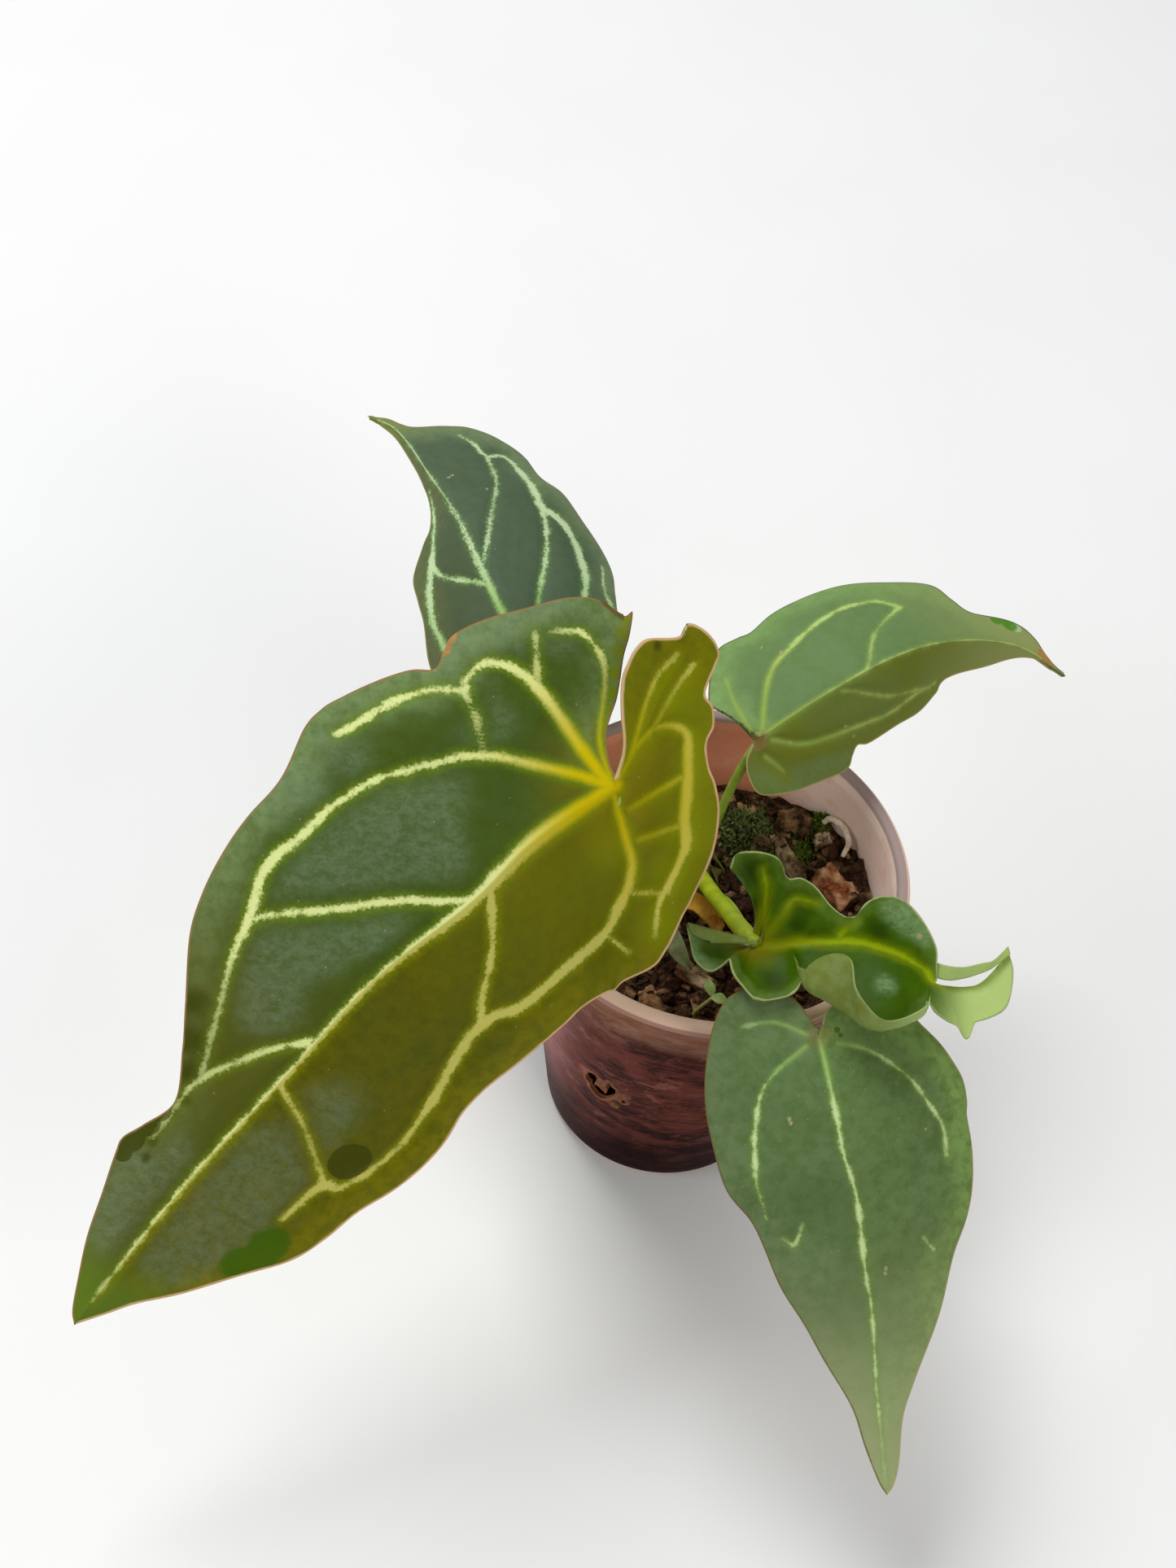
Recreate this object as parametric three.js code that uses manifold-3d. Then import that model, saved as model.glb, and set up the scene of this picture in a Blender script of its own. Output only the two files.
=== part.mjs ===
// A young crystal anthurium in a small see-through nursery pot.
// Millimetres, +Z up. The origin is the centre of the pot's underside, +X is to the right of the
// pot and -Y is its front. Each leaf blade is a flat outline, laid along a curved midrib and then
// folded at the midrib and curled towards its edges.

import * as THREE from 'three';
import { mergeVertices } from 'three/addons/utils/BufferGeometryUtils.js';
import Module from 'manifold-3d';

const wasm = await Module();
wasm.setup();

// Driving dimensions.
const POT = {
  height: 64, rimRadius: 30, baseRadius: 19, wall: 0.8, floor: 1.4,
  lipHeight: 2.4, lipWidth: 1.2, baseRounding: 1.6, sides: 48,
  drainRadius: 2, drainRing: 10, drains: 4,
};
const SIDE_HOLE = { angle: -116.3, height: 29.5, width: 4.6, tall: 5.6 };
const PIN_HOLE = { angle: -106.5, height: 28, width: 1.2, tall: 1.4 };
const MIX = { top: 48, slopeX: 0.26, slopeY: 0.08, lump: 0.9, rings: 7, sides: 32, bottom: 1.8 };
const CROWN = { x: -3, y: 8, radius: 6, top: 53, bottom: 38, sides: 14 };
const GAP = 0.3;
const BLADE = { edge: 0.65, middle: 1.1, columns: 5 };
const PETIOLE_SIDES = 10;

const COLOURS = {
  pot: '#a58d8c', mix: '#4a3020', chip: '#5a3a22', reddish: '#9a4a2a', pale: '#a5855a', moss: '#2e4a1c',
  brightMoss: '#6d8a24', root: '#cdb08a', crown: '#6d7a2a', stem: '#6fa028', limeStem: '#9cc81e',
  velvet: '#3f5a2c', grey: '#4a6650', mid: '#55803f', vivid: '#3c7814', scrap: '#b98a1e',
  juvenile: '#7d8a50',
};

// Small mathematical helpers.

function seeded(seed) {
  let state = seed;
  return () => {
    state = (state * 16807) % 2147483647;
    return state / 2147483647;
  };
}

// Catmull-Rom curve through lists of numbers of any length, as evenly numbered samples.
function smooth(points, perSpan) {
  const last = points.length - 1;
  const ahead = points[last].map((v, k) => 2 * v - points[last - 1][k]);
  const behind = points[0].map((v, k) => 2 * v - points[1][k]);
  const all = [behind, ...points, ahead];
  const out = [];
  for (let i = 1; i <= last; i += 1) {
    for (let j = 0; j < perSpan; j += 1) {
      const t = j / perSpan;
      out.push(points[0].map((_, k) => {
        const [a, b, c, d] = [all[i - 1][k], all[i][k], all[i + 1][k], all[i + 2][k]];
        const square = 2 * a - 5 * b + 4 * c - d;
        const cube = 3 * b - 3 * c + d - a;
        return 0.5 * (2 * b + (c - a) * t + square * t * t + cube * t * t * t);
      }));
    }
  }
  out.push(points[last].slice());
  return out;
}

// Value at a fractional index of a list of number lists.
function pick(list, index) {
  const i = Math.min(Math.max(Math.floor(index), 0), list.length - 2);
  const t = Math.min(Math.max(index - i, 0), 1);
  return list[i].map((v, k) => v + (list[i + 1][k] - v) * t);
}

// Eased value between keys [[place, value], ...].
function eased(keys, place) {
  if (place <= keys[0][0]) return keys[0][1];
  for (let i = 1; i < keys.length; i += 1) {
    const [a, va] = keys[i - 1];
    const [b, vb] = keys[i];
    if (place <= b) {
      const t = (place - a) / (b - a);
      return va + (vb - va) * t * t * (3 - 2 * t);
    }
  }
  return keys[keys.length - 1][1];
}

// Solids.

function merged(geometry) {
  const bare = geometry.clone();
  bare.deleteAttribute('normal');
  bare.deleteAttribute('uv');
  return mergeVertices(bare, 1e-4);
}

function toSolid(geometry) {
  const g = merged(geometry);
  const triVerts = new Uint32Array(g.index.array);
  const vertProperties = new Float32Array(g.attributes.position.array);
  return new wasm.Manifold(new wasm.Mesh({ numProp: 3, vertProperties, triVerts }));
}

function toGeometry(solid) {
  const mesh = solid.getMesh();
  const g = new THREE.BufferGeometry();
  const positions = new Float32Array(mesh.vertProperties);
  g.setAttribute('position', new THREE.BufferAttribute(positions, 3));
  g.setIndex(new THREE.BufferAttribute(new Uint32Array(mesh.triVerts), 1));
  g.computeVertexNormals();
  return g;
}

function minus(geometry, cutters) {
  let solid = toSolid(geometry);
  for (const cutter of cutters) solid = solid.subtract(toSolid(cutter));
  return toGeometry(solid);
}

function plus(geometry, others) {
  let solid = toSolid(geometry);
  for (const other of others) solid = solid.add(toSolid(other));
  return toGeometry(solid);
}

// Points of a line made a little longer at its first end, or at both ends.
function longer(points, by, bothEnds = false) {
  const stretch = (end, next) => {
    const [a, b] = [new THREE.Vector3(...end), new THREE.Vector3(...next)];
    return a.addScaledVector(a.clone().sub(b).normalize(), by).toArray();
  };
  const last = points.length - 1;
  const out = points.map((p) => p.slice());
  out[0] = stretch(points[0], points[1]);
  if (bothEnds) out[last] = stretch(points[last], points[last - 1]);
  return out;
}

function tube(points, radius, steps, sides = PETIOLE_SIDES) {
  const path = new THREE.CatmullRomCurve3(points.map((p) => new THREE.Vector3(...p)));
  const section = new THREE.Shape();
  for (let i = 0; i < sides; i += 1) {
    const angle = (2 * Math.PI * i) / sides;
    const [x, y] = [radius * Math.cos(angle), radius * Math.sin(angle)];
    if (i === 0) section.moveTo(x, y);
    else section.lineTo(x, y);
  }
  section.closePath();
  return new THREE.ExtrudeGeometry(section, { steps, bevelEnabled: false, extrudePath: path });
}

// A rough lump: a box whose corners and faces are moved a little.
function chip({ at, size, turn, seed, rough = 0.22 }, around = 0) {
  const random = seeded(seed);
  const g = merged(new THREE.BoxGeometry(...size.map((v) => v + 2 * around), 3, 2, 2));
  const p = g.attributes.position;
  const amount = rough * Math.min(...size);
  for (let i = 0; i < p.count; i += 1) {
    p.setXYZ(
      i,
      p.getX(i) * (0.9 + 0.2 * random()) + amount * (random() - 0.5),
      p.getY(i) + amount * (random() - 0.5),
      p.getZ(i) + amount * (random() - 0.5),
    );
  }
  const rotation = new THREE.Euler(...turn.map((degrees) => (degrees * Math.PI) / 180), 'ZYX');
  g.applyMatrix4(new THREE.Matrix4().makeRotationFromEuler(rotation));
  g.translate(...at);
  return g;
}

// A cushion: a flattened ball with a bumpy skin.
function cushion({ at, size, seed, bumps = 0.16 }, around = 0) {
  const random = seeded(seed);
  const g = merged(new THREE.SphereGeometry(1, 12, 8));
  const p = g.attributes.position;
  for (let i = 0; i < p.count; i += 1) {
    const k = 1 + bumps * (random() - 0.5) * 2;
    const [x, y, z] = size.map((v) => v * k + around);
    p.setXYZ(i, p.getX(i) * x, p.getY(i) * y, p.getZ(i) * z);
  }
  g.translate(...at);
  return g;
}

// The pot.

function potWall(height) {
  const slope = (POT.rimRadius - POT.lipWidth - POT.baseRadius) / POT.height;
  return POT.baseRadius + slope * height;
}

function potProfile() {
  const top = POT.height;
  const under = top - POT.lipHeight;
  const inner = (z) => potWall(z) - POT.wall;
  return [
    [0, 0], [POT.baseRadius - POT.baseRounding, 0], [POT.baseRadius - 0.4, 0.5],
    [potWall(POT.baseRounding), POT.baseRounding], [potWall(under), under],
    [POT.rimRadius - 0.3, under + 0.3], [POT.rimRadius, under + 1], [POT.rimRadius - 0.2, top - 0.3],
    [POT.rimRadius - 0.7, top], [potWall(top) - POT.wall + 0.4, top], [inner(top - 0.5), top - 0.5],
    [inner(POT.floor + 1), POT.floor + 1], [inner(POT.floor) - 1, POT.floor], [0, POT.floor],
  ];
}

// A melted hole: a ragged plug that reaches through the wall, pointing outwards.
function meltedPlug({ angle, height, width, tall }, seed) {
  const random = seeded(seed);
  const outline = new THREE.Shape();
  const corners = 9;
  for (let i = 0; i < corners; i += 1) {
    const turn = (2 * Math.PI * i) / corners;
    const k = 0.8 + 0.35 * random();
    const x = (width / 2) * k * Math.cos(turn);
    const y = (tall / 2) * k * Math.sin(turn);
    if (i === 0) outline.moveTo(x, y);
    else outline.lineTo(x, y);
  }
  outline.closePath();
  const reach = 6;
  const g = new THREE.ExtrudeGeometry(outline, { depth: reach, bevelEnabled: false });
  const radians = (angle * Math.PI) / 180;
  const out = new THREE.Vector3(Math.cos(radians), Math.sin(radians), 0);
  const up = new THREE.Vector3(0, 0, 1);
  const side = new THREE.Vector3().crossVectors(up, out);
  g.applyMatrix4(new THREE.Matrix4().makeBasis(side, up, out));
  const start = potWall(height) - reach / 2;
  g.translate(out.x * start, out.y * start, height);
  return g;
}

function pot() {
  const profile = potProfile().map(([x, y]) => new THREE.Vector2(x, y));
  const cup = new THREE.LatheGeometry(profile, POT.sides);
  cup.rotateX(Math.PI / 2);
  const drains = [];
  for (let i = 0; i < POT.drains; i += 1) {
    const turn = (2 * Math.PI * (i + 0.5)) / POT.drains;
    const drain = new THREE.CylinderGeometry(POT.drainRadius, POT.drainRadius, 6, 12);
    drain.rotateX(Math.PI / 2);
    drain.translate(POT.drainRing * Math.cos(turn), POT.drainRing * Math.sin(turn), 0);
    drains.push(drain);
  }
  return minus(cup, [meltedPlug(SIDE_HOLE, 21), meltedPlug(PIN_HOLE, 5), ...drains]);
}

// The potting mix, a mound that is higher at the right, and what lies on it.

function mixHeight(x, y) {
  const waves = Math.sin(0.55 * x + 1.3) * Math.cos(0.48 * y - 0.4) + 0.6 * Math.sin(0.95 * y + 0.7 * x);
  return MIX.top + MIX.slopeX * x + MIX.slopeY * y + 0.5 * MIX.lump * waves;
}

function mound() {
  const positions = [];
  const index = [];
  const { rings, sides } = MIX;
  const inside = (z) => potWall(z) - POT.wall - GAP;
  const place = (ring, side) => {
    const turn = (2 * Math.PI * side) / sides;
    const [c, s] = [Math.cos(turn), Math.sin(turn)];
    const share = ring / rings;
    let radius = inside(MIX.top) * share;
    let z = mixHeight(radius * c, radius * s);
    for (let pass = 0; pass < 3; pass += 1) {
      radius = inside(z) * share;
      z = mixHeight(radius * c, radius * s);
    }
    return [radius * c, radius * s, z];
  };
  positions.push(0, 0, mixHeight(0, 0));
  for (let ring = 1; ring <= rings; ring += 1) {
    for (let side = 0; side < sides; side += 1) positions.push(...place(ring, side));
  }
  for (let side = 0; side < sides; side += 1) {
    const turn = (2 * Math.PI * side) / sides;
    const radius = inside(MIX.bottom) - 1;
    positions.push(radius * Math.cos(turn), radius * Math.sin(turn), MIX.bottom);
  }
  positions.push(0, 0, MIX.bottom);
  const at = (ring, side) => (ring === 0 ? 0 : 1 + (ring - 1) * sides + (side % sides));
  const floorMiddle = 1 + (rings + 1) * sides;
  for (let side = 0; side < sides; side += 1) {
    index.push(0, at(1, side), at(1, side + 1));
    for (let ring = 1; ring <= rings; ring += 1) {
      const [a, b] = [at(ring, side), at(ring, side + 1)];
      const [c, d] = [at(ring + 1, side), at(ring + 1, side + 1)];
      index.push(a, c, d, a, d, b);
    }
    index.push(floorMiddle, at(rings + 1, side + 1), at(rings + 1, side));
  }
  const g = new THREE.BufferGeometry();
  g.setAttribute('position', new THREE.Float32BufferAttribute(positions, 3));
  g.setIndex(index);
  return g;
}

// Small bark pieces that stick out of the mix, fused into it.
function looseBark() {
  const random = seeded(91);
  const pieces = [];
  for (let i = 0; i < 16; i += 1) {
    const turn = 2 * Math.PI * random();
    const radius = 7 + 14 * Math.sqrt(random());
    const [x, y] = [radius * Math.cos(turn), radius * Math.sin(turn)];
    const size = [3 + 3 * random(), 2 + 2 * random(), 1.6 + random()];
    const turned = [20 * random(), 20 * random(), 360 * random()];
    pieces.push(chip({ at: [x, y, mixHeight(x, y) + 0.1], size, turn: turned, seed: 100 + i }));
  }
  return pieces;
}

// A chip lies with its lower part sunk in the mix.
function lying(x, y, above) {
  return [x, y, mixHeight(x, y) + above];
}

const CHIPS = [
  {
    name: 'bark_chip_long', at: lying(12.5, 11, 0.7), size: [8.5, 2.2, 1.8],
    turn: [8, -4, -62], seed: 3, colour: 'chip',
  },
  {
    name: 'bark_chip_reddish', at: lying(19.5, 6, 0.7), size: [6, 4.2, 2.6],
    turn: [10, 12, -35], seed: 8, colour: 'reddish',
  },
  {
    name: 'bark_chip_pale', at: lying(0.5, -10.5, 0.5), size: [5.4, 2.6, 1.6],
    turn: [0, 8, -30], seed: 12, colour: 'pale',
  },
  {
    name: 'bark_chip_back', at: lying(12.6, 18.6, 0.5), size: [4.6, 3.4, 2.4],
    turn: [-12, 6, 15], seed: 15, colour: 'chip',
  },
  {
    name: 'bark_chip_upright', at: lying(17.5, 14.5, 0.8), size: [2.4, 1.6, 6],
    turn: [14, -20, 20], seed: 19, colour: 'pale',
  },
  {
    name: 'bark_chip_left', at: lying(-12, -9, 0.5), size: [6.5, 3.6, 2.2],
    turn: [4, 6, 70], seed: 24, colour: 'chip',
  },
];

const CUSHIONS = [
  { name: 'moss_dark', at: lying(4.5, 16.8, 0.1), size: [5, 3.6, 2.2], seed: 31, colour: 'moss' },
  { name: 'moss_bright', at: lying(8, 10.5, 0.1), size: [3, 2.2, 1.6], seed: 37, colour: 'brightMoss' },
];

const ROOT_PATH = [
  [17.4, 17.6, 53.9], [18.4, 17.4, 56], [20.6, 15, 56.8], [21.4, 12, 56.2], [20.2, 9.6, 54.2],
];
const ROOT_RADIUS = 0.75;

// The plant.

function crown(around = 0) {
  const { top, bottom } = CROWN;
  const radius = CROWN.radius + around;
  const [low, high] = [bottom - around, top + around];
  const profile = [
    [0, low], [radius - 2, low], [radius, low + 3], [radius, high - 3],
    [radius - 1.2, high - 0.8], [radius - 3, high], [0, high],
  ];
  const g = new THREE.LatheGeometry(profile.map(([x, y]) => new THREE.Vector2(x, y)), CROWN.sides);
  g.rotateX(Math.PI / 2);
  g.translate(CROWN.x, CROWN.y, 0);
  return g;
}

// Blades that follow a flat outline. spine: midrib in space, its second point is where the stalk
// joins. up: the blade's upper side there. fold and curl are degrees, keyed by millimetres along
// the midrib. left and right: outline points [along the midrib, out from it], from the notch
// between the lobes round to the tip, as seen by someone walking from the stalk to the tip.
const LEAVES = {
  front_left: {
    spine: [
      [-8.5, -8.5, 100], [-17, -18, 100], [-26, -28, 98.5], [-32.5, -36.5, 94.5], [-43, -45, 86],
      [-52.5, -55, 75], [-63.5, -66.5, 62], [-75.5, -81.5, 46],
    ],
    up: [0.2, -0.68, 0.7], half: 36, stations: 22, lobeRows: 16,
    left: {
      fold: [[-20, -6], [-6, -10], [10, -20], [100, -16]], curl: [[0, -20], [60, -16]],
      outline: [
        [-1, -1], [-3, -3.3], [-4, -5.5], [-4.7, -8], [-6.5, -12.3], [-8.5, -14.2], [-10.5, -15.3],
        [-13, -15.5], [-18, -13.5], [-20, -14.5], [-22, -12.7], [-23, -10.5], [-23, -8.5], [-22, -7.5],
        [-20, -6], [-18.5, -4.5], [-19, -2.5], [-18, 0], [-16, 1.5], [-15, 4.5], [-15, 7.5],
        [-14, 11.5], [-11, 16.5], [-6.5, 20.5], [-3.5, 22.5], [0, 26], [3, 28.5], [8, 29], [14, 28.5],
        [23, 25.5], [27, 25.5], [38.5, 26], [46.5, 25.5], [51, 25.5], [55.5, 26.5], [60, 26.5],
        [65, 25.5], [70.5, 23.5], [76.5, 22.5], [82, 20.5], [87.5, 15.5], [93.5, 10], [97.5, 5.5],
        [100.5, 3],
      ],
    },
    right: {
      fold: [[-20, -8], [10, -10], [80, -8]], curl: [[0, -24], [60, -20]],
      outline: [
        [-1, 1.2], [-1.5, 3.5], [-3, 6.5], [-4.7, 8.2], [-6.7, 9.8], [-8.7, 11.9], [-11, 14.4],
        [-13.5, 16.5], [-15.8, 19], [-14.5, 19], [-13.5, 20], [-12, 23], [-8.5, 25], [-3, 26.5],
        [2, 28], [6.5, 28.5], [8.5, 27.5], [10.5, 26], [12.5, 28], [17.5, 31], [21, 32], [28.5, 31.5],
        [35, 28], [39.5, 27], [43, 26], [48.5, 24], [53.5, 21.5], [61, 16], [65.5, 12.5], [71.5, 8.5],
        [76.5, 9.5], [79.5, 10.5], [81.5, 10], [87, 8], [93, 6], [98.5, 3.5], [102.5, 1.5],
      ],
    },
    colour: 'velvet',
  },
  back_left: {
    spine: [
      [-23.5, 9, 70], [-28.5, 14.5, 76], [-38, 26, 82], [-47.5, 41, 84.5], [-53.5, 50.5, 83],
      [-61, 63, 79.5], [-67, 68, 77],
    ],
    up: [0.1, -0.36, 0.93], half: 18, stations: 13, lobeRows: 7,
    left: {
      fold: [[-10, -22], [20, -30], [50, -55]], curl: [[0, -20], [60, -20]],
      outline: [
        [-2.5, 0.5], [-4, 3], [-4, 7.5], [1.5, 12.5], [8, 14.5], [15, 14.5], [21.5, 12.5], [26, 12],
        [31.5, 11.5], [36, 8], [38, 5.5], [42.5, 3.2], [48, 2], [56.5, 1.6], [64, 1.2],
      ],
    },
    right: {
      fold: [[-10, -8], [30, -6], [60, -8]], curl: [[0, -30], [60, -25]],
      outline: [
        [-3.5, 1], [-5.5, 4], [-4, 8.5], [1, 14], [5.5, 17.5], [14.5, 21.5], [23.5, 25], [32, 22],
        [38, 20.5], [42, 18], [50.5, 18.5], [55, 15.5], [57.5, 11.5], [58.5, 8], [60, 3.2],
        [62, 1.6], [65.5, 1.1],
      ],
    },
    colour: 'grey',
  },
  back_right: {
    spine: [
      [-1, 7.5, 77], [3, 11.5, 80], [10.5, 19, 82], [17.5, 25, 84], [23, 30, 84], [29, 35, 82.5],
      [36.5, 39.5, 80], [43.5, 42, 77], [51, 41.5, 73],
    ],
    up: [0.05, -0.4, 0.91], half: 16, stations: 14, lobeRows: 7,
    left: {
      fold: [[-8, -16], [10, -22], [55, -24]], curl: [[0, -16], [50, -20]],
      outline: [
        [-0.5, 1.2], [-0.5, 5], [-1.5, 8.5], [-1.5, 10], [2, 14], [7, 18.5], [10, 18.5], [12, 18],
        [16.5, 19.5], [24, 19.5], [30.5, 18.5], [36, 15.5], [41.5, 13], [43, 9], [45, 6], [51.5, 5],
        [54.5, 3.5], [57, 1.5],
      ],
    },
    right: {
      fold: [[-8, -20], [6, -32], [30, -42], [48, -44]], curl: [[0, -14], [50, -10]],
      outline: [
        [-1.2, 0.3], [-3.5, 1.5], [-5, 4], [-5, 7], [-0.5, 10], [8.5, 12.5], [12, 13], [13.5, 11.5],
        [15, 10.5], [18, 11.5], [31.5, 11.5], [36.5, 9], [37.5, 7.2], [39.5, 6.2], [47.5, 4.5],
        [55, 1],
      ],
    },
    colour: 'mid',
  },
  front: {
    spine: [
      [14.5, -26.5, 72.5], [17, -31.5, 70.5], [20, -38.5, 67.5], [23, -45, 63], [26, -49, 58.5],
      [29, -55.5, 51.5], [31.5, -60, 46], [34, -67, 39], [38, -78.5, 30],
    ],
    up: [-0.05, -0.46, 0.89], half: 18, stations: 13, lobeRows: 7,
    left: {
      fold: [[-8, -10], [10, -9], [60, -14]], curl: [[0, -18], [60, -14]],
      outline: [
        [-1.5, 1], [-3, 2], [-4, 4.5], [-4, 8.5], [-1.5, 13], [1.5, 15.5], [4, 17.5], [7, 19],
        [10, 20], [14, 20], [19.5, 19.5], [23.5, 18.5], [31, 15.5], [38.5, 12], [44.5, 9], [51.5, 5.5],
        [56, 3.5], [62, 2.3], [65, 1.2],
      ],
    },
    right: {
      fold: [[-8, -1], [0, -2], [14, -7], [60, -14]], curl: [[-4, -4], [12, -18], [60, -14]],
      outline: [
        [-1.4, 0.2], [-3, 0.6], [-6, 2], [-8.5, 6], [-9, 9], [-7.5, 12], [-3, 15], [3, 17], [9.5, 18],
        [17, 17.5], [22.5, 16], [31, 13.5], [37.5, 11.5], [46, 8], [53.5, 4], [59.5, 2.5], [64.5, 1],
      ],
    },
    colour: 'grey',
  },
};

// The newest leaf is still crinkled. Its halves are given by rows of [midrib place, edge point,
// point half way across]. Where there is no third point, the row is straight.
const NEWEST = {
  midrib: [
    [6.5, -19, 72], [9.5, -19.5, 73], [12.5, -19, 74], [17, -19, 75.5], [21, -19, 76.5],
    [26, -20, 77], [30, -21.5, 76.5], [31.5, -22.8, 76], [33.2, -22.8, 75.4], [36.5, -21.9, 74.8],
    [38.7, -20.8, 75.3], [41.5, -17.5, 78.2],
  ],
  stations: 26,
  left: [
    [0, [1, -14.9, 82.8], [5.5, -16.8, 77.5]], [0, [1.6, -13.1, 83.9], [5.9, -16.1, 77.9]],
    [0, [4.5, -13, 85], [6.6, -15.9, 78.6]], [0, [7, -12.5, 84], [7.5, -15.6, 78.1]],
    [0.3, [8.5, -13, 83]], [0.7, [8, -13.5, 81]], [1, [9, -13.5, 80]], [1.5, [11, -12.5, 80.5]],
    [2, [13.5, -13.5, 80]], [2.6, [15.5, -15, 79]], [3.2, [18, -16, 78]], [3.6, [19.5, -16, 78.5]],
    [4, [20.5, -15, 80.5]], [4.5, [22.5, -14.5, 82]], [5, [25.5, -14.5, 82]], [5.5, [28.5, -16.5, 81]],
    [6, [31, -19, 79]], [6.5, [31.6, -21.2, 77.4]], [7, [32, -22.6, 76.2]], [7.3, [32.2, -22.8, 75.8]],
  ],
  right: [
    [0, [5.5, -20, 72]], [0, [3, -20, 73]], [0, [0, -21.5, 74]], [0, [-2.5, -21.5, 75]],
    [0, [-3.5, -20.5, 75.5]], [0, [-2.5, -22, 73.5]], [0, [-1.5, -24, 72.5]], [0, [0.5, -25, 72]],
    [0, [2, -24.5, 73]], [0, [3, -24.5, 75]], [0, [4, -26.5, 74.5]], [0, [5.5, -27.5, 73.5]],
    [0.3, [7.5, -29, 73]], [0.7, [10, -28.5, 73]], [1.3, [12.5, -27.5, 74]], [1.7, [13.5, -25.5, 76]],
    [2.2, [15, -25, 79.5], [14, -27, 75.2]], [2.8, [17, -25, 81.5], [17, -28.4, 75.2]],
    [3.4, [19, -26.5, 82.5], [19.6, -29.8, 75.4]], [4, [20, -30.5, 82], [22, -31.3, 75.8]],
    [4.6, [22.5, -33, 81], [24, -31.3, 76.2]], [5.2, [24.5, -33, 79.5], [26.5, -30.3, 76.2]],
    [5.6, [27, -31.5, 78.5], [28.5, -29, 76]], [6.1, [29.5, -29, 77.5], [30.5, -27.4, 75.8]],
    [6.6, [31.2, -26.4, 75.8]], [7.2, [32.5, -27, 74.5]], [7.7, [34.5, -27.5, 73.5]],
    [8, [36, -28, 73.3]], [8.3, [37.5, -29, 72.3]], [8.5, [38, -27.4, 73]], [8.7, [38.2, -26.8, 73.5]],
    [9.2, [40, -26, 74]], [9.7, [42, -24.5, 74.5]], [10.2, [42.6, -22.5, 75.5]],
    [10.6, [42.5, -19.5, 77]], [11, [41.5, -17.5, 78.2]],
  ],
  strip: {
    edgeA: [
      [29.8, -20.6, 77.7], [33, -20.8, 77.3], [35.5, -20.3, 76.9], [38, -19.3, 77.2],
      [39.5, -18.8, 77.7], [41.2, -16.8, 78.7],
    ],
    edgeB: [
      [29.8, -22.4, 76.6], [33, -22.4, 76], [35.2, -21.7, 75.8], [37.4, -20.7, 76.1],
      [39.4, -19.6, 76.8], [41.7, -17.8, 78.3],
    ],
  },
  thickness: { edge: 0.62, middle: 0.8 },
  colour: 'vivid',
};

const SHEATH = {
  edgeA: [[-3, 1.8, 52.2], [-1.2, 0.8, 54.2], [1.5, -1, 54.6], [3.8, -3.2, 52.6]],
  edgeB: [[-3.4, 0, 50.4], [-1, -1.2, 52], [1.2, -2.8, 51.6], [3.2, -4.4, 50.8]],
};
const JUVENILE = {
  edgeA: [[-4.6, -4.6, 52.8], [-3.2, -6.6, 54], [-1.6, -9.2, 53.4], [-0.2, -11.2, 51.2]],
  edgeB: [[-4.4, -5, 52.4], [-5, -8, 52.6], [-3.2, -10.4, 51.8], [-0.4, -11.4, 50.9]],
  stalk: [[-5.4, 1.9, 50.2], [-5.4, -1.6, 51.2], [-4.6, -5.6, 52.5]],
};
const SEEDLING = {
  stem: [[1, -16.8, 44.5], [1.4, -16.6, 48], [3.4, -15.6, 51]],
  leaflets: [
    { edgeA: [[3, -15.4, 51], [1.9, -14.6, 51.8], [2.2, -13.2, 52]],
      edgeB: [[3.6, -15.2, 51], [3.6, -14, 51.6], [2.6, -13, 51.8]] },
    { edgeA: [[3.3, -15.3, 51], [4.6, -14.9, 51.6], [5.7, -15.8, 51.4]],
      edgeB: [[3.2, -15.8, 51], [4.2, -16.6, 51.2], [5.5, -16.4, 51.2]] },
  ],
};
const THIN_STALK = 0.45;

// Petioles: points from the crown up to a blade, then the radius.
// seat: how far below the blade's upper side the stalk ends.
const PETIOLES = {
  front_left: {
    points: [[-7, 5.5, 45], [-8, 2, 60], [-11.5, -5.5, 78], [-16, -15.8, 91], [-17.6, -18.8, 100]],
    radius: 1.5, seat: 2.15,
  },
  back_left: {
    points: [[-6.2, 11, 45], [-9, 12, 55], [-18, 13, 63.5], [-26, 14, 70], [-28.5, 14.5, 76]],
    radius: 1.15, seat: 1.9,
  },
  back_right: {
    points: [[-0.6, 11.2, 46], [0, 12.4, 56], [1.2, 12.4, 68], [3, 11.6, 80]],
    radius: 0.85, seat: 2,
  },
  newest: {
    points: [[-2.6, 7.4, 46], [-1.4, 4.6, 54], [2, -5.6, 63], [5.4, -15.6, 70], [6.8, -19.2, 72.4]],
    radius: 2, seat: 1.1,
  },
  front: {
    points: [[1, 5, 46], [3.6, -2, 56], [9.6, -19.5, 65.6], [14.4, -28.2, 68], [17.4, -32, 69.8]],
    radius: 1.05, seat: 1.5,
  },
};

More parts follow.
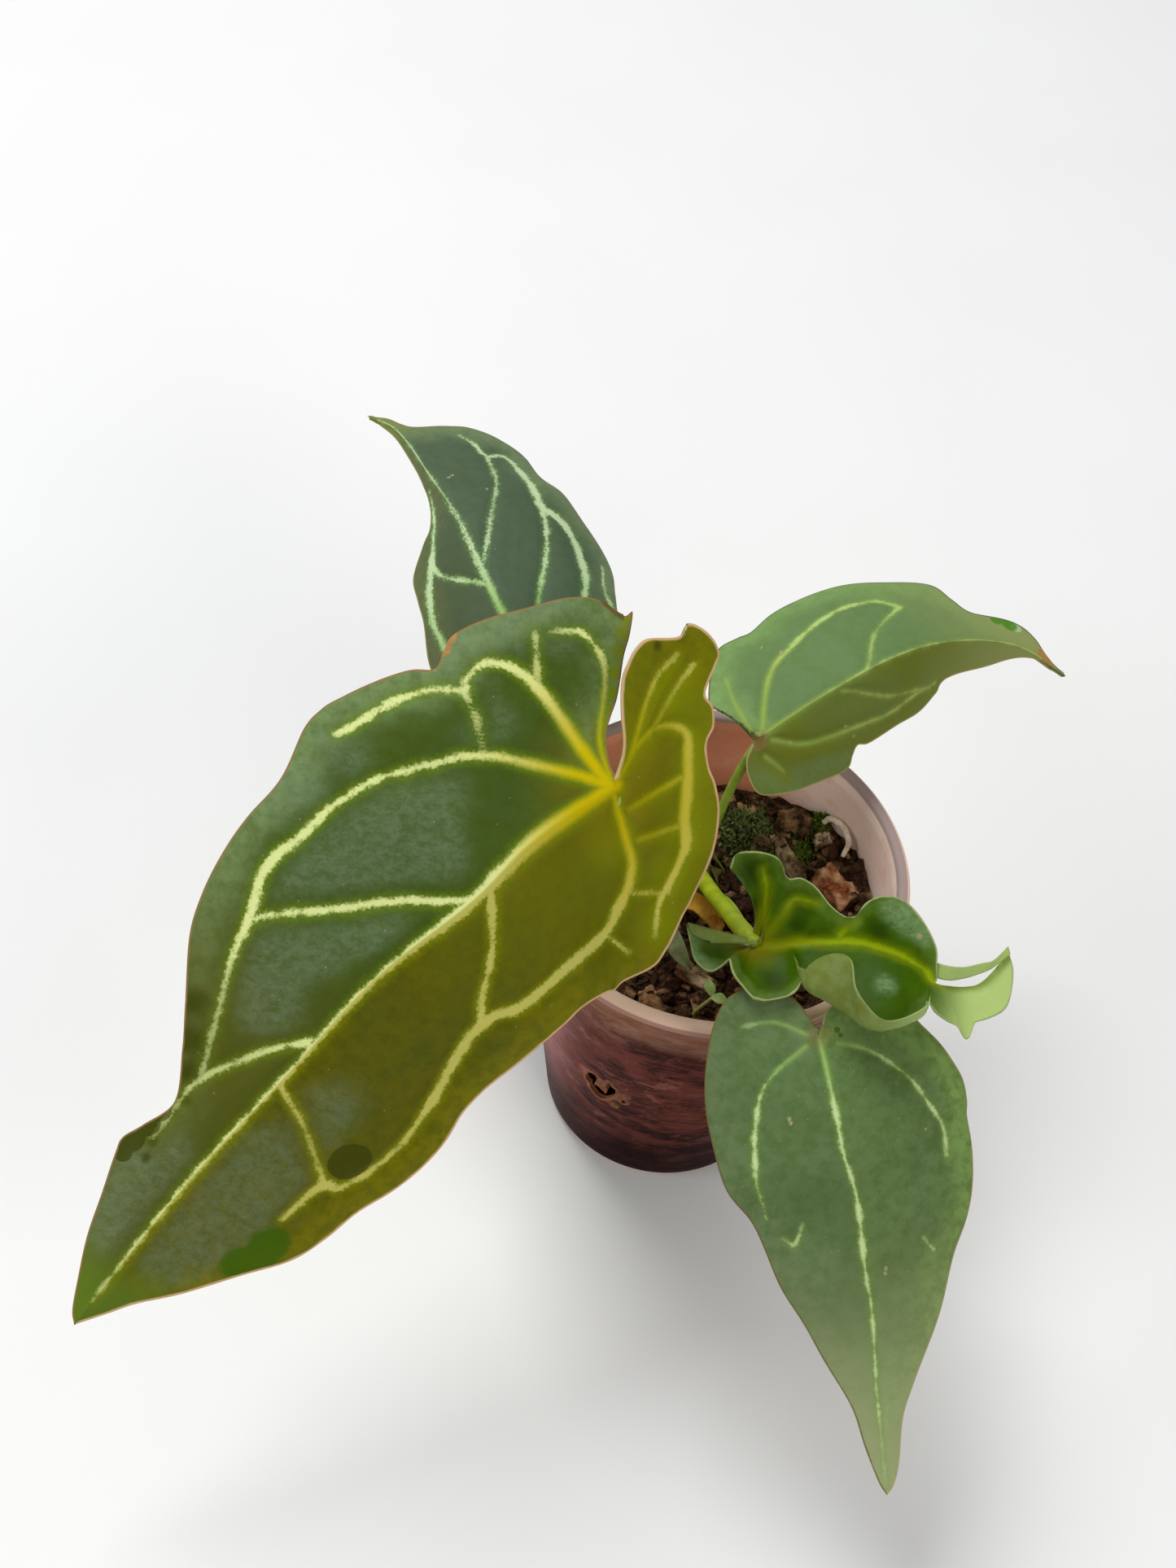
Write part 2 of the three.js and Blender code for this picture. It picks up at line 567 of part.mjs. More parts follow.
// Position and frame along a leaf's midrib.
class Midrib {
  constructor({ spine, up }) {
    this.samples = smooth(spine, 24).map((p) => new THREE.Vector3(...p));
    this.lengths = [0];
    for (let i = 1; i < this.samples.length; i += 1) {
      this.lengths.push(this.lengths[i - 1] + this.samples[i].distanceTo(this.samples[i - 1]));
    }
    this.start = this.lengths[24];
    this.length = this.lengths[this.lengths.length - 1] - this.start;
    this.up = new THREE.Vector3(...up);
  }

  point(along) {
    const reach = along + this.start;
    const last = this.samples.length - 1;
    let i = 1;
    while (i < last && this.lengths[i] < reach) i += 1;
    const span = this.lengths[i] - this.lengths[i - 1];
    const t = (reach - this.lengths[i - 1]) / span;
    return new THREE.Vector3().lerpVectors(this.samples[i - 1], this.samples[i], t);
  }

  frame(along) {
    const ahead = this.point(along + 4).sub(this.point(along - 4)).normalize();
    const side = new THREE.Vector3().crossVectors(this.up, ahead).normalize();
    const normal = new THREE.Vector3().crossVectors(ahead, side);
    return { origin: this.point(along), side, normal };
  }
}

// Point of a folded and curled half at (along the midrib, out from it).
function onHalf(midrib, leaf, sign, along, out) {
  const { fold, curl } = sign > 0 ? leaf.left : leaf.right;
  const { origin, side, normal } = midrib.frame(along);
  const first = (eased(fold, along) * Math.PI) / 180;
  const extra = (eased(curl, along) * Math.PI) / 180;
  const steps = 12;
  let across = 0;
  let lift = 0;
  for (let i = 0; i < steps; i += 1) {
    const place = ((i + 0.5) / steps) * out;
    const angle = first + extra * (Math.max(place, 0) / leaf.half) ** 2;
    across += (Math.cos(angle) * out) / steps;
    lift += (Math.sin(angle) * out) / steps;
  }
  return origin.addScaledVector(side, sign * across).addScaledVector(normal, lift);
}

// Turn, in radians, over which the rows of a lobe straighten out from the edge of the slot.
const SLOT_FADE = 0.7;
const SLOT_SLACK = 0.01;

// Rows of points from the midrib to the edge: a fan round the stalk for the lobe, then one row
// for each station of the midrib, which both halves share. The fan's first row follows the edge
// of the slot between the lobes, and the rows after it bend less and less.
function halfRows(leaf, midrib, sign) {
  const { outline } = sign > 0 ? leaf.left : leaf.right;
  const edge = smooth([...outline, [midrib.length, 0]], 10);
  const reached = [];
  let most = 0;
  for (const [along, out] of edge) {
    most = Math.max(most, Math.min(along - 0.5 * Math.abs(out), midrib.length));
    reached.push(most);
  }
  const lobeEnd = reached.findIndex((value) => value > 0) - 1;
  // Seen from the stalk, the slot ends at the last edge point that is turned least from behind.
  const turns = edge.slice(0, lobeEnd + 1).map(([along, out]) => Math.atan2(out, -along));
  const least = Math.min(...turns);
  const slotEnd = turns.findLastIndex((turn) => turn < least + SLOT_SLACK);
  const slot = [[0, 0], ...edge.slice(0, slotEnd + 1)];
  const places = [];
  for (let i = 0; i < leaf.lobeRows; i += 1) {
    places.push([0, slotEnd + ((lobeEnd - slotEnd) * i) / leaf.lobeRows]);
  }
  for (let i = 0; i <= leaf.stations; i += 1) {
    const station = (midrib.length * i) / leaf.stations;
    let k = lobeEnd;
    while (k < edge.length - 1 && reached[k] < station - 1e-9) k += 1;
    places.push([station, i === 0 ? lobeEnd : k]);
  }
  return places.map(([station, k]) => {
    const [along, out] = pick(edge, k);
    const turned = (Math.atan2(out, -along) - least) / SLOT_FADE;
    const bend = k < lobeEnd ? eased([[0, 1], [1, 0]], turned) : 0;
    const row = [];
    for (let c = 0; c <= BLADE.columns; c += 1) {
      const t = c / BLADE.columns;
      const onSlot = pick(slot, t * (slot.length - 1));
      const aside = onSlot.map((v, axis) => bend * (v - t * edge[slotEnd][axis]));
      const place = station + (along - station) * t + aside[0];
      row.push(onHalf(midrib, leaf, sign, place, out * t + aside[1]));
    }
    return row;
  });
}

// Rows of the newest leaf: a curve through the midrib, the half-way point and the edge.
function newestRows(rows, columns) {
  const midrib = smooth(NEWEST.midrib, 12);
  const through = (row) => row[2] ?? row[1].map((v, k) => (v + pick(midrib, row[0] * 12)[k]) / 2);
  const table = smooth(rows.map((row) => [row[0], ...row[1], ...through(row)]), 10);
  const lobeEnd = table.findIndex((row) => row[0] > 0.02) - 1;
  const lobeRows = Math.round(lobeEnd / 5);
  const lastStation = rows[rows.length - 1][0] - 1e-6;
  const places = [];
  for (let i = 0; i < lobeRows; i += 1) places.push([0, (lobeEnd * i) / lobeRows]);
  for (let i = 0; i <= NEWEST.stations; i += 1) {
    const station = (11 * i) / NEWEST.stations;
    let k = lobeEnd;
    while (k < table.length - 1 && table[k][0] < station - 1e-9) k += 1;
    places.push([station, i === 0 ? lobeEnd : k]);
  }
  return places.map(([station, k]) => {
    const values = pick(table, k);
    const start = new THREE.Vector3(...pick(midrib, station * 12));
    const end = new THREE.Vector3(values[1], values[2], values[3]);
    const middle = new THREE.Vector3(values[4], values[5], values[6]);
    const past = station > lastStation || start.distanceTo(end) < 0.25;
    if (past) return new Array(columns + 1).fill(start);
    const pull = middle.clone().multiplyScalar(2).addScaledVector(start, -0.5).addScaledVector(end, -0.5);
    const row = [];
    for (let c = 0; c <= columns; c += 1) {
      const t = c / columns;
      const point = start.clone().multiplyScalar((1 - t) * (1 - t));
      row.push(point.addScaledVector(pull, 2 * t * (1 - t)).addScaledVector(end, t * t));
    }
    return row;
  });
}

// A closed sheet from an upper surface: both halves' rows are joined where their points meet,
// the underside is the same surface moved down by the thickness, and a wall closes the edge.
function sheet(leftRows, rightRows, thickness = BLADE) {
  const points = [];
  const inward = [];
  const known = new Map();
  const number = (p, t) => {
    const key = p.toArray().map((v) => Math.round(v * 500)).join(',');
    if (!known.has(key)) {
      known.set(key, points.length);
      points.push(p);
      inward.push(t);
    }
    return known.get(key);
  };
  const faces = [];
  const addHalf = (rows, flipped) => {
    for (let i = 0; i + 1 < rows.length; i += 1) {
      const last = rows[i].length - 1;
      for (let c = 0; c < last; c += 1) {
        const [t0, t1] = [1 - c / last, 1 - (c + 1) / last];
        const a = number(rows[i][c], t0);
        const b = number(rows[i + 1][c], t0);
        const d = number(rows[i][c + 1], t1);
        const e = number(rows[i + 1][c + 1], t1);
        for (const face of [[a, b, d], [b, e, d]]) {
          if (new Set(face).size === 3) faces.push(flipped ? [face[0], face[2], face[1]] : face);
        }
      }
    }
  };
  addHalf(leftRows, false);
  if (rightRows) addHalf(rightRows, true);
  const normals = points.map(() => new THREE.Vector3());
  for (const [a, b, c] of faces) {
    const normal = new THREE.Vector3().subVectors(points[b], points[a]);
    normal.cross(new THREE.Vector3().subVectors(points[c], points[a]));
    for (const corner of [a, b, c]) normals[corner].add(normal);
  }
  const positions = [];
  for (const p of points) positions.push(p.x, p.y, p.z);
  points.forEach((p, i) => {
    const depth = thickness.edge + (thickness.middle - thickness.edge) * inward[i] ** 2;
    const q = p.clone().addScaledVector(normals[i].normalize(), -depth);
    positions.push(q.x, q.y, q.z);
  });
  const count = points.length;
  const index = [];
  const used = new Set(faces.flatMap(([a, b, c]) => [`${a},${b}`, `${b},${c}`, `${c},${a}`]));
  for (const [a, b, c] of faces) {
    index.push(a, b, c, a + count, c + count, b + count);
    for (const [from, to] of [[a, b], [b, c], [c, a]]) {
      if (!used.has(`${to},${from}`)) index.push(from, from + count, to, to, from + count, to + count);
    }
  }
  const g = new THREE.BufferGeometry();
  g.setAttribute('position', new THREE.Float32BufferAttribute(positions, 3));
  g.setIndex(index);
  return g;
}

// A small sheet between two edge curves.
function ribbon({ edgeA, edgeB }, spans) {
  const a = smooth(edgeA, spans);
  const b = smooth(edgeB, spans);
  const rows = a.map((start, i) => {
    const from = new THREE.Vector3(...start);
    const to = new THREE.Vector3(...b[i]);
    return [0, 0.5, 1].map((t) => new THREE.Vector3().lerpVectors(from, to, t));
  });
  return sheet(rows, null, { edge: 0.6, middle: 0.6 });
}

function bladeGeometry(leaf) {
  const midrib = new Midrib(leaf);
  return sheet(halfRows(leaf, midrib, 1), halfRows(leaf, midrib, -1));
}

function newestGeometry() {
  const blade = sheet(newestRows(NEWEST.left, 4), newestRows(NEWEST.right, 5), NEWEST.thickness);
  return plus(blade, [ribbon(NEWEST.strip, 2)]);
}

// A box that covers everything above a blade's seat on its petiole.
function aboveSeat(joint, up, drop) {
  const size = 14;
  const box = new THREE.BoxGeometry(size, size, size);
  const normal = new THREE.Vector3(...up).normalize();
  const turn = new THREE.Quaternion().setFromUnitVectors(new THREE.Vector3(0, 0, 1), normal);
  box.applyQuaternion(turn);
  const middle = new THREE.Vector3(...joint).addScaledVector(normal, size / 2 - drop);
  box.translate(middle.x, middle.y, middle.z);
  return box;
}

// Assembly.

const plant = new THREE.Group();

function add(name, geometry, colour, look = {}) {
  const material = new THREE.MeshStandardMaterial({
    color: COLOURS[colour], roughness: look.roughness ?? 0.6, metalness: 0, flatShading: false,
    transparent: look.opacity !== undefined, opacity: look.opacity ?? 1,
  });
  const mesh = new THREE.Mesh(geometry, material);
  mesh.name = name;
  plant.add(mesh);
}

const petioleTubes = {};
for (const [name, { points, radius }] of Object.entries(PETIOLES)) {
  const socket = tube(longer(points, GAP), radius + 1.1 * GAP, 16);
  petioleTubes[name] = { body: tube(points, radius, 16), socket };
}

const crownSolid = crown();
const chips = CHIPS.map((c) => ({ ...c, geometry: chip(c) }));
const cushions = CUSHIONS.map((c) => ({ ...c, geometry: cushion(c) }));
const root = tube(ROOT_PATH, ROOT_RADIUS, 12, 8);
const rootSocket = tube(longer(ROOT_PATH, GAP, true), ROOT_RADIUS + 1.1 * GAP, 12, 8);

add('pot', pot(), 'pot', { roughness: 0.25, opacity: 0.6 });

const mixWithBark = plus(mound(), looseBark());
const seedlingSocket = tube(longer(SEEDLING.stem, GAP), THIN_STALK + 1.1 * GAP, 8, 8);
const pockets = [
  seedlingSocket,
  ...CHIPS.map((c) => chip(c, 1.2 * GAP)), ...CUSHIONS.map((c) => cushion(c, 1.2 * GAP)),
  crown(1.1 * GAP), rootSocket, ...Object.values(petioleTubes).map((t) => t.socket),
];
add('potting_mix', minus(mixWithBark, pockets), 'mix', { roughness: 1 });

for (const c of chips) add(c.name, c.geometry, c.colour, { roughness: 0.9 });
for (const c of cushions) add(c.name, c.geometry, c.colour, { roughness: 1 });
add('surface_root', root, 'root', { roughness: 0.7 });

add('crown', minus(crownSolid, Object.values(petioleTubes).map((t) => t.socket)), 'crown');
for (const [name, { body }] of Object.entries(petioleTubes)) {
  const leaf = LEAVES[name];
  const joint = leaf ? leaf.spine[1] : NEWEST.midrib[0];
  const up = leaf ? leaf.up : [-0.3, -0.3, 0.9];
  const cut = minus(body, [aboveSeat(joint, up, PETIOLES[name].seat)]);
  add(`petiole_${name}`, cut, name === 'newest' ? 'limeStem' : 'stem');
}
for (const [name, leaf] of Object.entries(LEAVES)) add(`blade_${name}`, bladeGeometry(leaf), leaf.colour);
add('blade_newest', newestGeometry(), NEWEST.colour, { roughness: 0.35 });
add('withered_sheath', ribbon(SHEATH, 4), 'scrap', { roughness: 0.8 });
add('juvenile_leaf', plus(ribbon(JUVENILE, 4), [tube(JUVENILE.stalk, 0.6, 6, 8)]), 'juvenile');
const leaflets = SEEDLING.leaflets.map((leaflet) => ribbon(leaflet, 3));
add('weed_seedling', plus(tube(SEEDLING.stem, THIN_STALK, 8, 8), leaflets), 'juvenile');

export default plant;
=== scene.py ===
import math
import random
import bmesh
import bpy
import numpy as np
from mathutils import Euler, Matrix, Vector


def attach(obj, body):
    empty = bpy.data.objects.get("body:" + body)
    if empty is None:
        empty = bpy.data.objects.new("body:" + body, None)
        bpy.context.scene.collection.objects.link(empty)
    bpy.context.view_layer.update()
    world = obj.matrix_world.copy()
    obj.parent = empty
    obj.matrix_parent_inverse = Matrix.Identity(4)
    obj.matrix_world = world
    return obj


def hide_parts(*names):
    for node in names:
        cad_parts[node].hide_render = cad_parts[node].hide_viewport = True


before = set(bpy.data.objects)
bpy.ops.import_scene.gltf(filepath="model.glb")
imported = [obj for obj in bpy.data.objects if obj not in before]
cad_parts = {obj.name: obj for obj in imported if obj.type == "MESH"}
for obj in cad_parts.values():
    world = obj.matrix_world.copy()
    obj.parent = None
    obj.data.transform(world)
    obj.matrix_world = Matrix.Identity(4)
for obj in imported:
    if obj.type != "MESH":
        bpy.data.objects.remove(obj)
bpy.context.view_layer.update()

# Lengths below are millimetres. Meshes are made in metres.
METRE = 0.001

# Numbers shared with the CAD part.

RIM_RADIUS = 30
BASE_RADIUS = 19
POT_HEIGHT = 64
POT_WALL = 0.8
LIP_HEIGHT = 2.4
LIP_WIDTH = 1.2
POT_FLOOR = 1.4
MIX_TOP = 48
CROWN_PLACE = (-3, 8)
CROWN_TOP = 53

# Blades. The spine runs from the back of the joint to the tip, and its second point is the joint.
# Outlines are [along the midrib, out from it], from the notch round to the tip.
# Veins are (along, out, half width) and patches of colour (along, out, radius). The sheen patches are painted
# sheen, pale bluish patches that stand for reflected light, and olive patches are a painted glow of light let
# through the blade.
# fold and curl are (along, degrees). A row leaves the midrib at the fold and has turned by the curl as well
# where it is "half" millimetres out.
# A blade's left is the left of someone who walks to its tip.

FRONT_LEFT = {
    "spine": [
        (-8.5, -8.5, 100), (-17, -18, 100), (-26, -28, 98.5), (-32.5, -36.5, 94.5), (-43, -45, 86),
        (-52.5, -55, 75), (-63.5, -66.5, 62), (-75.4, -81.4, 46),
    ],
    "up": (0.2, -0.68, 0.7),
    "half": 36,
    "left": {
        "fold": [(-20, -6), (-6, -10), (10, -20), (100, -16)],
        "curl": [(0, -20), (60, -16)],
        "outline": [
            (-1, -1), (-3, -3.3), (-4, -5.5), (-4.7, -8), (-6.5, -12.3), (-8.5, -14.2), (-10.5, -15.3),
            (-13, -15.5), (-18, -13.5), (-20, -14.5), (-22, -12.7), (-23, -10.5), (-23, -8.5),
            (-22, -7.5), (-20, -6), (-18.5, -4.5), (-19, -2.5), (-18, 0), (-16, 1.5), (-15, 4.5),
            (-15, 7.5), (-14, 11.5), (-11, 16.5), (-6.5, 20.5), (-3.5, 22.5), (0, 26), (3, 28.5),
            (8, 29), (14, 28.5), (23, 25.5), (27, 25.5), (38.5, 26), (46.5, 25.5), (51, 25.5),
            (55.5, 26.5), (60, 26.5), (65, 25.5), (70.5, 23.5), (76.5, 22.5), (82, 20.5), (87.5, 15.5),
            (93.5, 10), (97.5, 5.5), (100.5, 3),
        ],
        "veins": [
            [(0.3, 0.5, 0.8), (1, 8, 1.2), (1.5, 11.5, 1.3), (4, 15.5, 1.4), (9, 19.5, 1.5), (16.5, 19, 1.5),
             (21.5, 18.5, 1.5), (30, 18, 1.4), (36, 16.5, 1.5), (53.5, 20.5, 1.1), (61, 21, 0.8),
             (68.5, 18.5, 1), (69.5, 16, 1.1), (77, 15, 0.7)],
            [(22.5, 1, 1), (27.5, 8, 0.8), (32.5, 12.5, 0.9), (36, 16.5, 1.3)],
            [(60.5, 0.5, 0.8), (64, 8, 0.5), (67.5, 13.5, 0.5), (69.5, 16.5, 1.1)],
            [(-1, -0.4, 0.5), (-6, -3.5, 0.5), (-10, -4, 0.7), (-13.5, -1.5, 1.2), (-12.5, 2, 1.6),
             (-11, 5.5, 1.7), (-9, 9.5, 1.7), (-7.5, 13.5, 1.4), (-3.5, 16.5, 1.1), (-0.5, 19, 0.8),
             (1.5, 23.5, 0.3)],
            [(-10.5, 4, 0.8), (-1, 4, 0.3)],
            [(-7.5, 10, 0.6), (-0.5, 8.5, 0.4)],
            [(-2.5, 18, 0.5), (3, 15.5, 0.6)],
            [(6, 24.5, 0.4), (8.5, 20.5, 0.7)],
            [(-1, -0.6, 0.5), (-4, -2.5, 0.5), (-11, -9.5, 0.7), (-17, -11.5, 0.3)],
            [(-7.5, -3.5, 0.35), (-13.5, -7, 0.4), (-18.5, -9, 0.5)],
        ],
        "wet": [(64.4, 16.4, 3.2)],
        "vivid": [(81.4, 15.8, 3.8), (85.8, 14, 3.4), (83.8, 16.4, 3)],
        "dark": [(-14, -14, 1.5)],
        # Olive patches: a painted glow of light let through the blade.
        "olive": [
            (-4, -4, 6), (-14, -6, 7), (-14, 3, 8), (-9, 11, 8), (-4, 16, 7), (3, 6, 7), (0, 22, 6),
        ],
        # Painted sheen: pale bluish patches that stand for reflected light.
        "bloom": [
            (60, 8, 6), (68.8, 8.5, 7), (74.4, 5, 8), (72, 2, 5), (80, 5, 8), (76, 11, 6), (86, 7, 7),
            (90, 5, 5),
        ],
    },
    "right": {
        "fold": [(-20, -8), (10, -10), (80, -8)],
        "curl": [(0, -24), (60, -20)],
        "outline": [
            (-1, 1.2), (-1.5, 3.5), (-3, 6.5), (-4.7, 8.2), (-6.7, 9.8), (-8.7, 11.9), (-11, 14.4),
            (-13.5, 16.5), (-15.8, 19), (-14.5, 19), (-13.5, 20), (-12, 23), (-8.5, 25), (-3, 26.5),
            (2, 28), (6.5, 28.5), (8.5, 27.5), (10.5, 26), (12.5, 28), (17.5, 31), (21, 32),
            (28.5, 31.5), (35, 28), (39.5, 27), (43, 26), (48.5, 24), (53.5, 21.5), (61, 16),
            (65.5, 12.5), (71.5, 8.5), (76.5, 9.5), (79.5, 10.5), (81.5, 10), (87, 8), (93, 6),
            (98.5, 3.5), (102.5, 1.5),
        ],
        "veins": [
            [(0, 0.4, 1), (-1.7, 6.2, 0.7), (-5.8, 11.5, 0.6), (-8, 15.5, 0.6), (-7.5, 20, 0.7),
             (-4, 22, 0.3)],
            [(0.4, 1, 1.8), (1, 6.5, 1.7), (1.5, 14, 1.4), (2.5, 19.5, 1.2), (5.5, 23, 0.8), (8.5, 22.5, 0.6),
             (9.5, 21.5, 0.6), (12, 24, 0.6), (15, 26, 0.8), (18, 27, 0.9), (23, 28.5, 0.5)],
            [(1, 17.5, 0.5), (-2, 23, 0.4)],
            [(9.5, 21, 0.5), (10.5, 16.5, 0.35), (12, 13, 0.25)],
            [(0.6, 0.8, 1.6), (3, 3.5, 1.5), (8, 8.5, 1.2), (12, 13, 0.8), (16.5, 16.5, 0.6), (22, 20, 0.7),
             (31, 21, 0.9), (37, 20.5, 1.1), (41.5, 20.5, 1.1), (46.5, 17.5, 1.1), (52, 15.5, 0.6),
             (57, 13, 0.36), (67, 8, 0.3)],
            [(25, 0.5, 0.9), (31.5, 5.5, 0.9), (38.5, 10, 0.9), (44.5, 15.5, 0.8), (46.5, 17, 0.7)],
            [(53.5, 1, 0.9), (57, 3.6, 0.6), (62, 6, 0.5), (67, 8, 0.5), (72, 8, 0.35), (77, 7.5, 0.25)],
        ],
        # Painted sheen: pale bluish patches that stand for reflected light.
        "bloom": [
            (25.7, 17, 6), (20, 13, 6), (34.5, 16.5, 7), (38.4, 14.6, 5), (31, 11.5, 7), (24, 7, 4.5),
            (46, 12, 7), (41, 8, 6), (35.5, 6, 5), (9.8, 16, 4), (53.4, 8, 6), (-1.2, 25, 6),
            (-5.4, 22, 5), (6.2, 25.2, 6), (24, 26, 6), (34, 25, 5), (84, 5, 6), (90, 4, 5), (78, 4, 5),
        ],
        # Olive patches: a painted glow of light let through the blade.
        "olive": [
            (-14.5, 18.4, 2), (-12.8, 17, 2.2), (-10.8, 15.2, 2.2), (-8.8, 13, 2.1), (-6.8, 10.8, 2),
            (-5, 9, 1.8), (-3.4, 7.6, 1.7), (-2.4, 5.5, 1.5),
        ],
        "dark": [
            (70.4, 7.6, 1.4), (72.6, 7.9, 1.4), (75, 7.8, 1.4), (77.4, 7.2, 1.3), (79.6, 6.4, 1.1),
            (64, 12.5, 4), (67.5, 10, 3.5), (60, 15.5, 3.5),
        ],
        "wet": [(73.6, 8.8, 1.3), (76, 9.2, 1.8), (78.8, 9.4, 1.8), (81, 9.2, 1.3)],
        "scorch": [(7.4, 28.6, 1.3), (8.6, 27.4, 1)],
    },
    "midrib": [(-0.5, 1.9), (10, 2.4), (20, 1.9), (30, 1.4), (45, 0.95), (75, 0.8), (100, 0.4)],
}

BACK_LEFT = {
    "spine": [
        (-23.5, 9, 70), (-28.5, 14.5, 76), (-38, 26, 82), (-47.5, 41, 84.5), (-53.5, 50.5, 83),
        (-61, 63, 79.5), (-67, 68, 77),
    ],
    "up": (0.1, -0.36, 0.93),
    "half": 18,
    "left": {
        "fold": [(-10, -22), (20, -30), (50, -55)],
        "curl": [(0, -20), (60, -20)],
        "outline": [
            (-2.5, 0.5), (-4, 3), (-4, 7.5), (1.5, 12.5), (8, 14.5), (15, 14.5), (21.5, 12.5), (26, 12),
            (31.5, 11.5), (36, 8), (38, 5.5), (42.5, 3.2), (48, 2), (56.5, 1.6), (64, 1.2),
        ],
        "veins": [
            [(21.5, 0.5, 0.6), (26.5, 6, 0.6), (29.5, 7.5, 0.9)],
            [(44, 2, 0.3), (40, 3.5, 0.5), (31, 7.5, 1), (25, 10, 1), (18, 11, 0.9), (8, 9, 0.7),
             (1, 1, 0.6)],
        ],
    },
    "right": {
        "fold": [(-10, -8), (30, -6), (60, -8)],
        "curl": [(0, -30), (60, -25)],
        "outline": [
            (-3.5, 1), (-5.5, 4), (-4, 8.5), (1, 14), (5.5, 17.5), (14.5, 21.5), (23.5, 25), (32, 22),
            (38, 20.5), (42, 18), (50.5, 18.5), (55, 15.5), (57.5, 11.5), (58.5, 8), (60, 3.2),
            (62, 1.6), (65.5, 1.1),
        ],
        "veins": [
            [(25.5, 1, 0.5), (34.5, 6, 0.4), (41, 9.5, 0.35), (49, 11, 0.45)],
            [(56, 9, 0.25), (53.5, 10.5, 0.5), (49.5, 11, 0.8), (49, 14.5, 0.9), (41.5, 15, 1.1),
             (33.5, 14.5, 1.3)],
            [(33.5, 14.5, 0.9), (25, 11.5, 0.6), (14.5, 5.5, 0.5), (4, 1, 0.5)],
            [(33.5, 14.5, 1.2), (30.5, 17, 1.3), (24.5, 17.5, 1.3), (14, 14, 1.1), (3, 3, 0.8)],
            [(22, 22, 0.4), (16.5, 19.5, 0.5), (11.5, 19, 0.6)],
        ],
        "spots": [(44.2, 2.6), (44.6, 3.4), (39, 7)],
    },
    "midrib": [(0, 1.2), (16, 1.3), (34, 0.9), (45, 0.6), (66, 0.3)],
}

BACK_RIGHT = {
    "spine": [
        (-1, 7.5, 77), (3, 11.5, 80), (10.5, 19, 82), (17.5, 25, 84), (23, 30, 84), (29, 35, 82.5),
        (36.5, 39.5, 80), (43.5, 42, 77), (51, 41.5, 73),
    ],
    "up": (0.05, -0.4, 0.91),
    "half": 16,
    "left": {
        "fold": [(-8, -16), (10, -22), (55, -24)],
        "curl": [(0, -16), (50, -20)],
        "outline": [
            (-0.5, 1.2), (-0.5, 5), (-1.5, 8.5), (-1.5, 10), (2, 14), (7, 18.5), (10, 18.5), (12, 18),
            (16.5, 19.5), (24, 19.5), (30.5, 18.5), (36, 15.5), (41.5, 13), (43, 9), (45, 6),
            (51.5, 5), (54.5, 3.5), (57, 1.5),
        ],
        "veins": [
            [(1.5, 1, 0.45), (9, 8.5, 0.45), (14.5, 11, 0.55), (19.5, 12.5, 0.65), (24.5, 13, 0.5),
             (30.5, 12.5, 0.5), (32.5, 11.5, 0.55), (34, 9, 0.35)],
            [(21, 0.5, 0.4), (26.5, 5.5, 0.25), (34, 9, 0.35)],
            [(0, 1.5, 0.4), (1.5, 7.5, 0.3), (3.5, 12, 0.2)],
        ],
        "spots": [(11, 13.5), (12.5, 11)],
        "vivid": [(50.6, 4.2, 1.5), (48.6, 4.8, 1.2)],
        "scorch": [(57.6, 0.6, 1.5), (56.2, 1.2, 1.2)],
        "wet": [(51.6, 3.9, 0.9)],
    },
    "right": {
        "fold": [(-8, -20), (6, -32), (30, -42), (48, -44)],
        "curl": [(0, -14), (50, -10)],
        "outline": [
            (-1.2, 0.3), (-3.5, 1.5), (-5, 4), (-5, 7), (-0.5, 10), (8.5, 12.5), (12, 13), (13.5, 11.5),
            (15, 10.5), (18, 11.5), (31.5, 11.5), (36.5, 9), (37.5, 7.2), (39.5, 6.2), (47.5, 4.5),
            (55, 1),
        ],
        "veins": [
            [(2, 1.5, 0.4), (6.5, 5, 0.35), (13, 7, 0.35), (23.5, 9, 0.35), (30.5, 8, 0.3), (36, 7, 0.3)],
            [(15.5, 1, 0.3), (24, 6, 0.25), (35, 7.5, 0.25)],
            [(-0.5, 3, 0.35), (1, 6.5, 0.2)],
        ],
        "spots": [(4.5, 3.5), (14, 6.5), (14.7, 8.7)],
        "scorch": [(57.4, 0.4, 1.4)],
        # Painted sheen: pale bluish patches that stand for reflected light.
        "bloom": [(-3.2, 5, 3.6), (0, 8, 3.8), (3.5, 9.6, 3.6), (8, 10.4, 3.2), (12, 12, 2.4)],
    },
    "midrib": [(0, 0.8), (15, 0.7), (35, 0.5), (58, 0.25)],
}

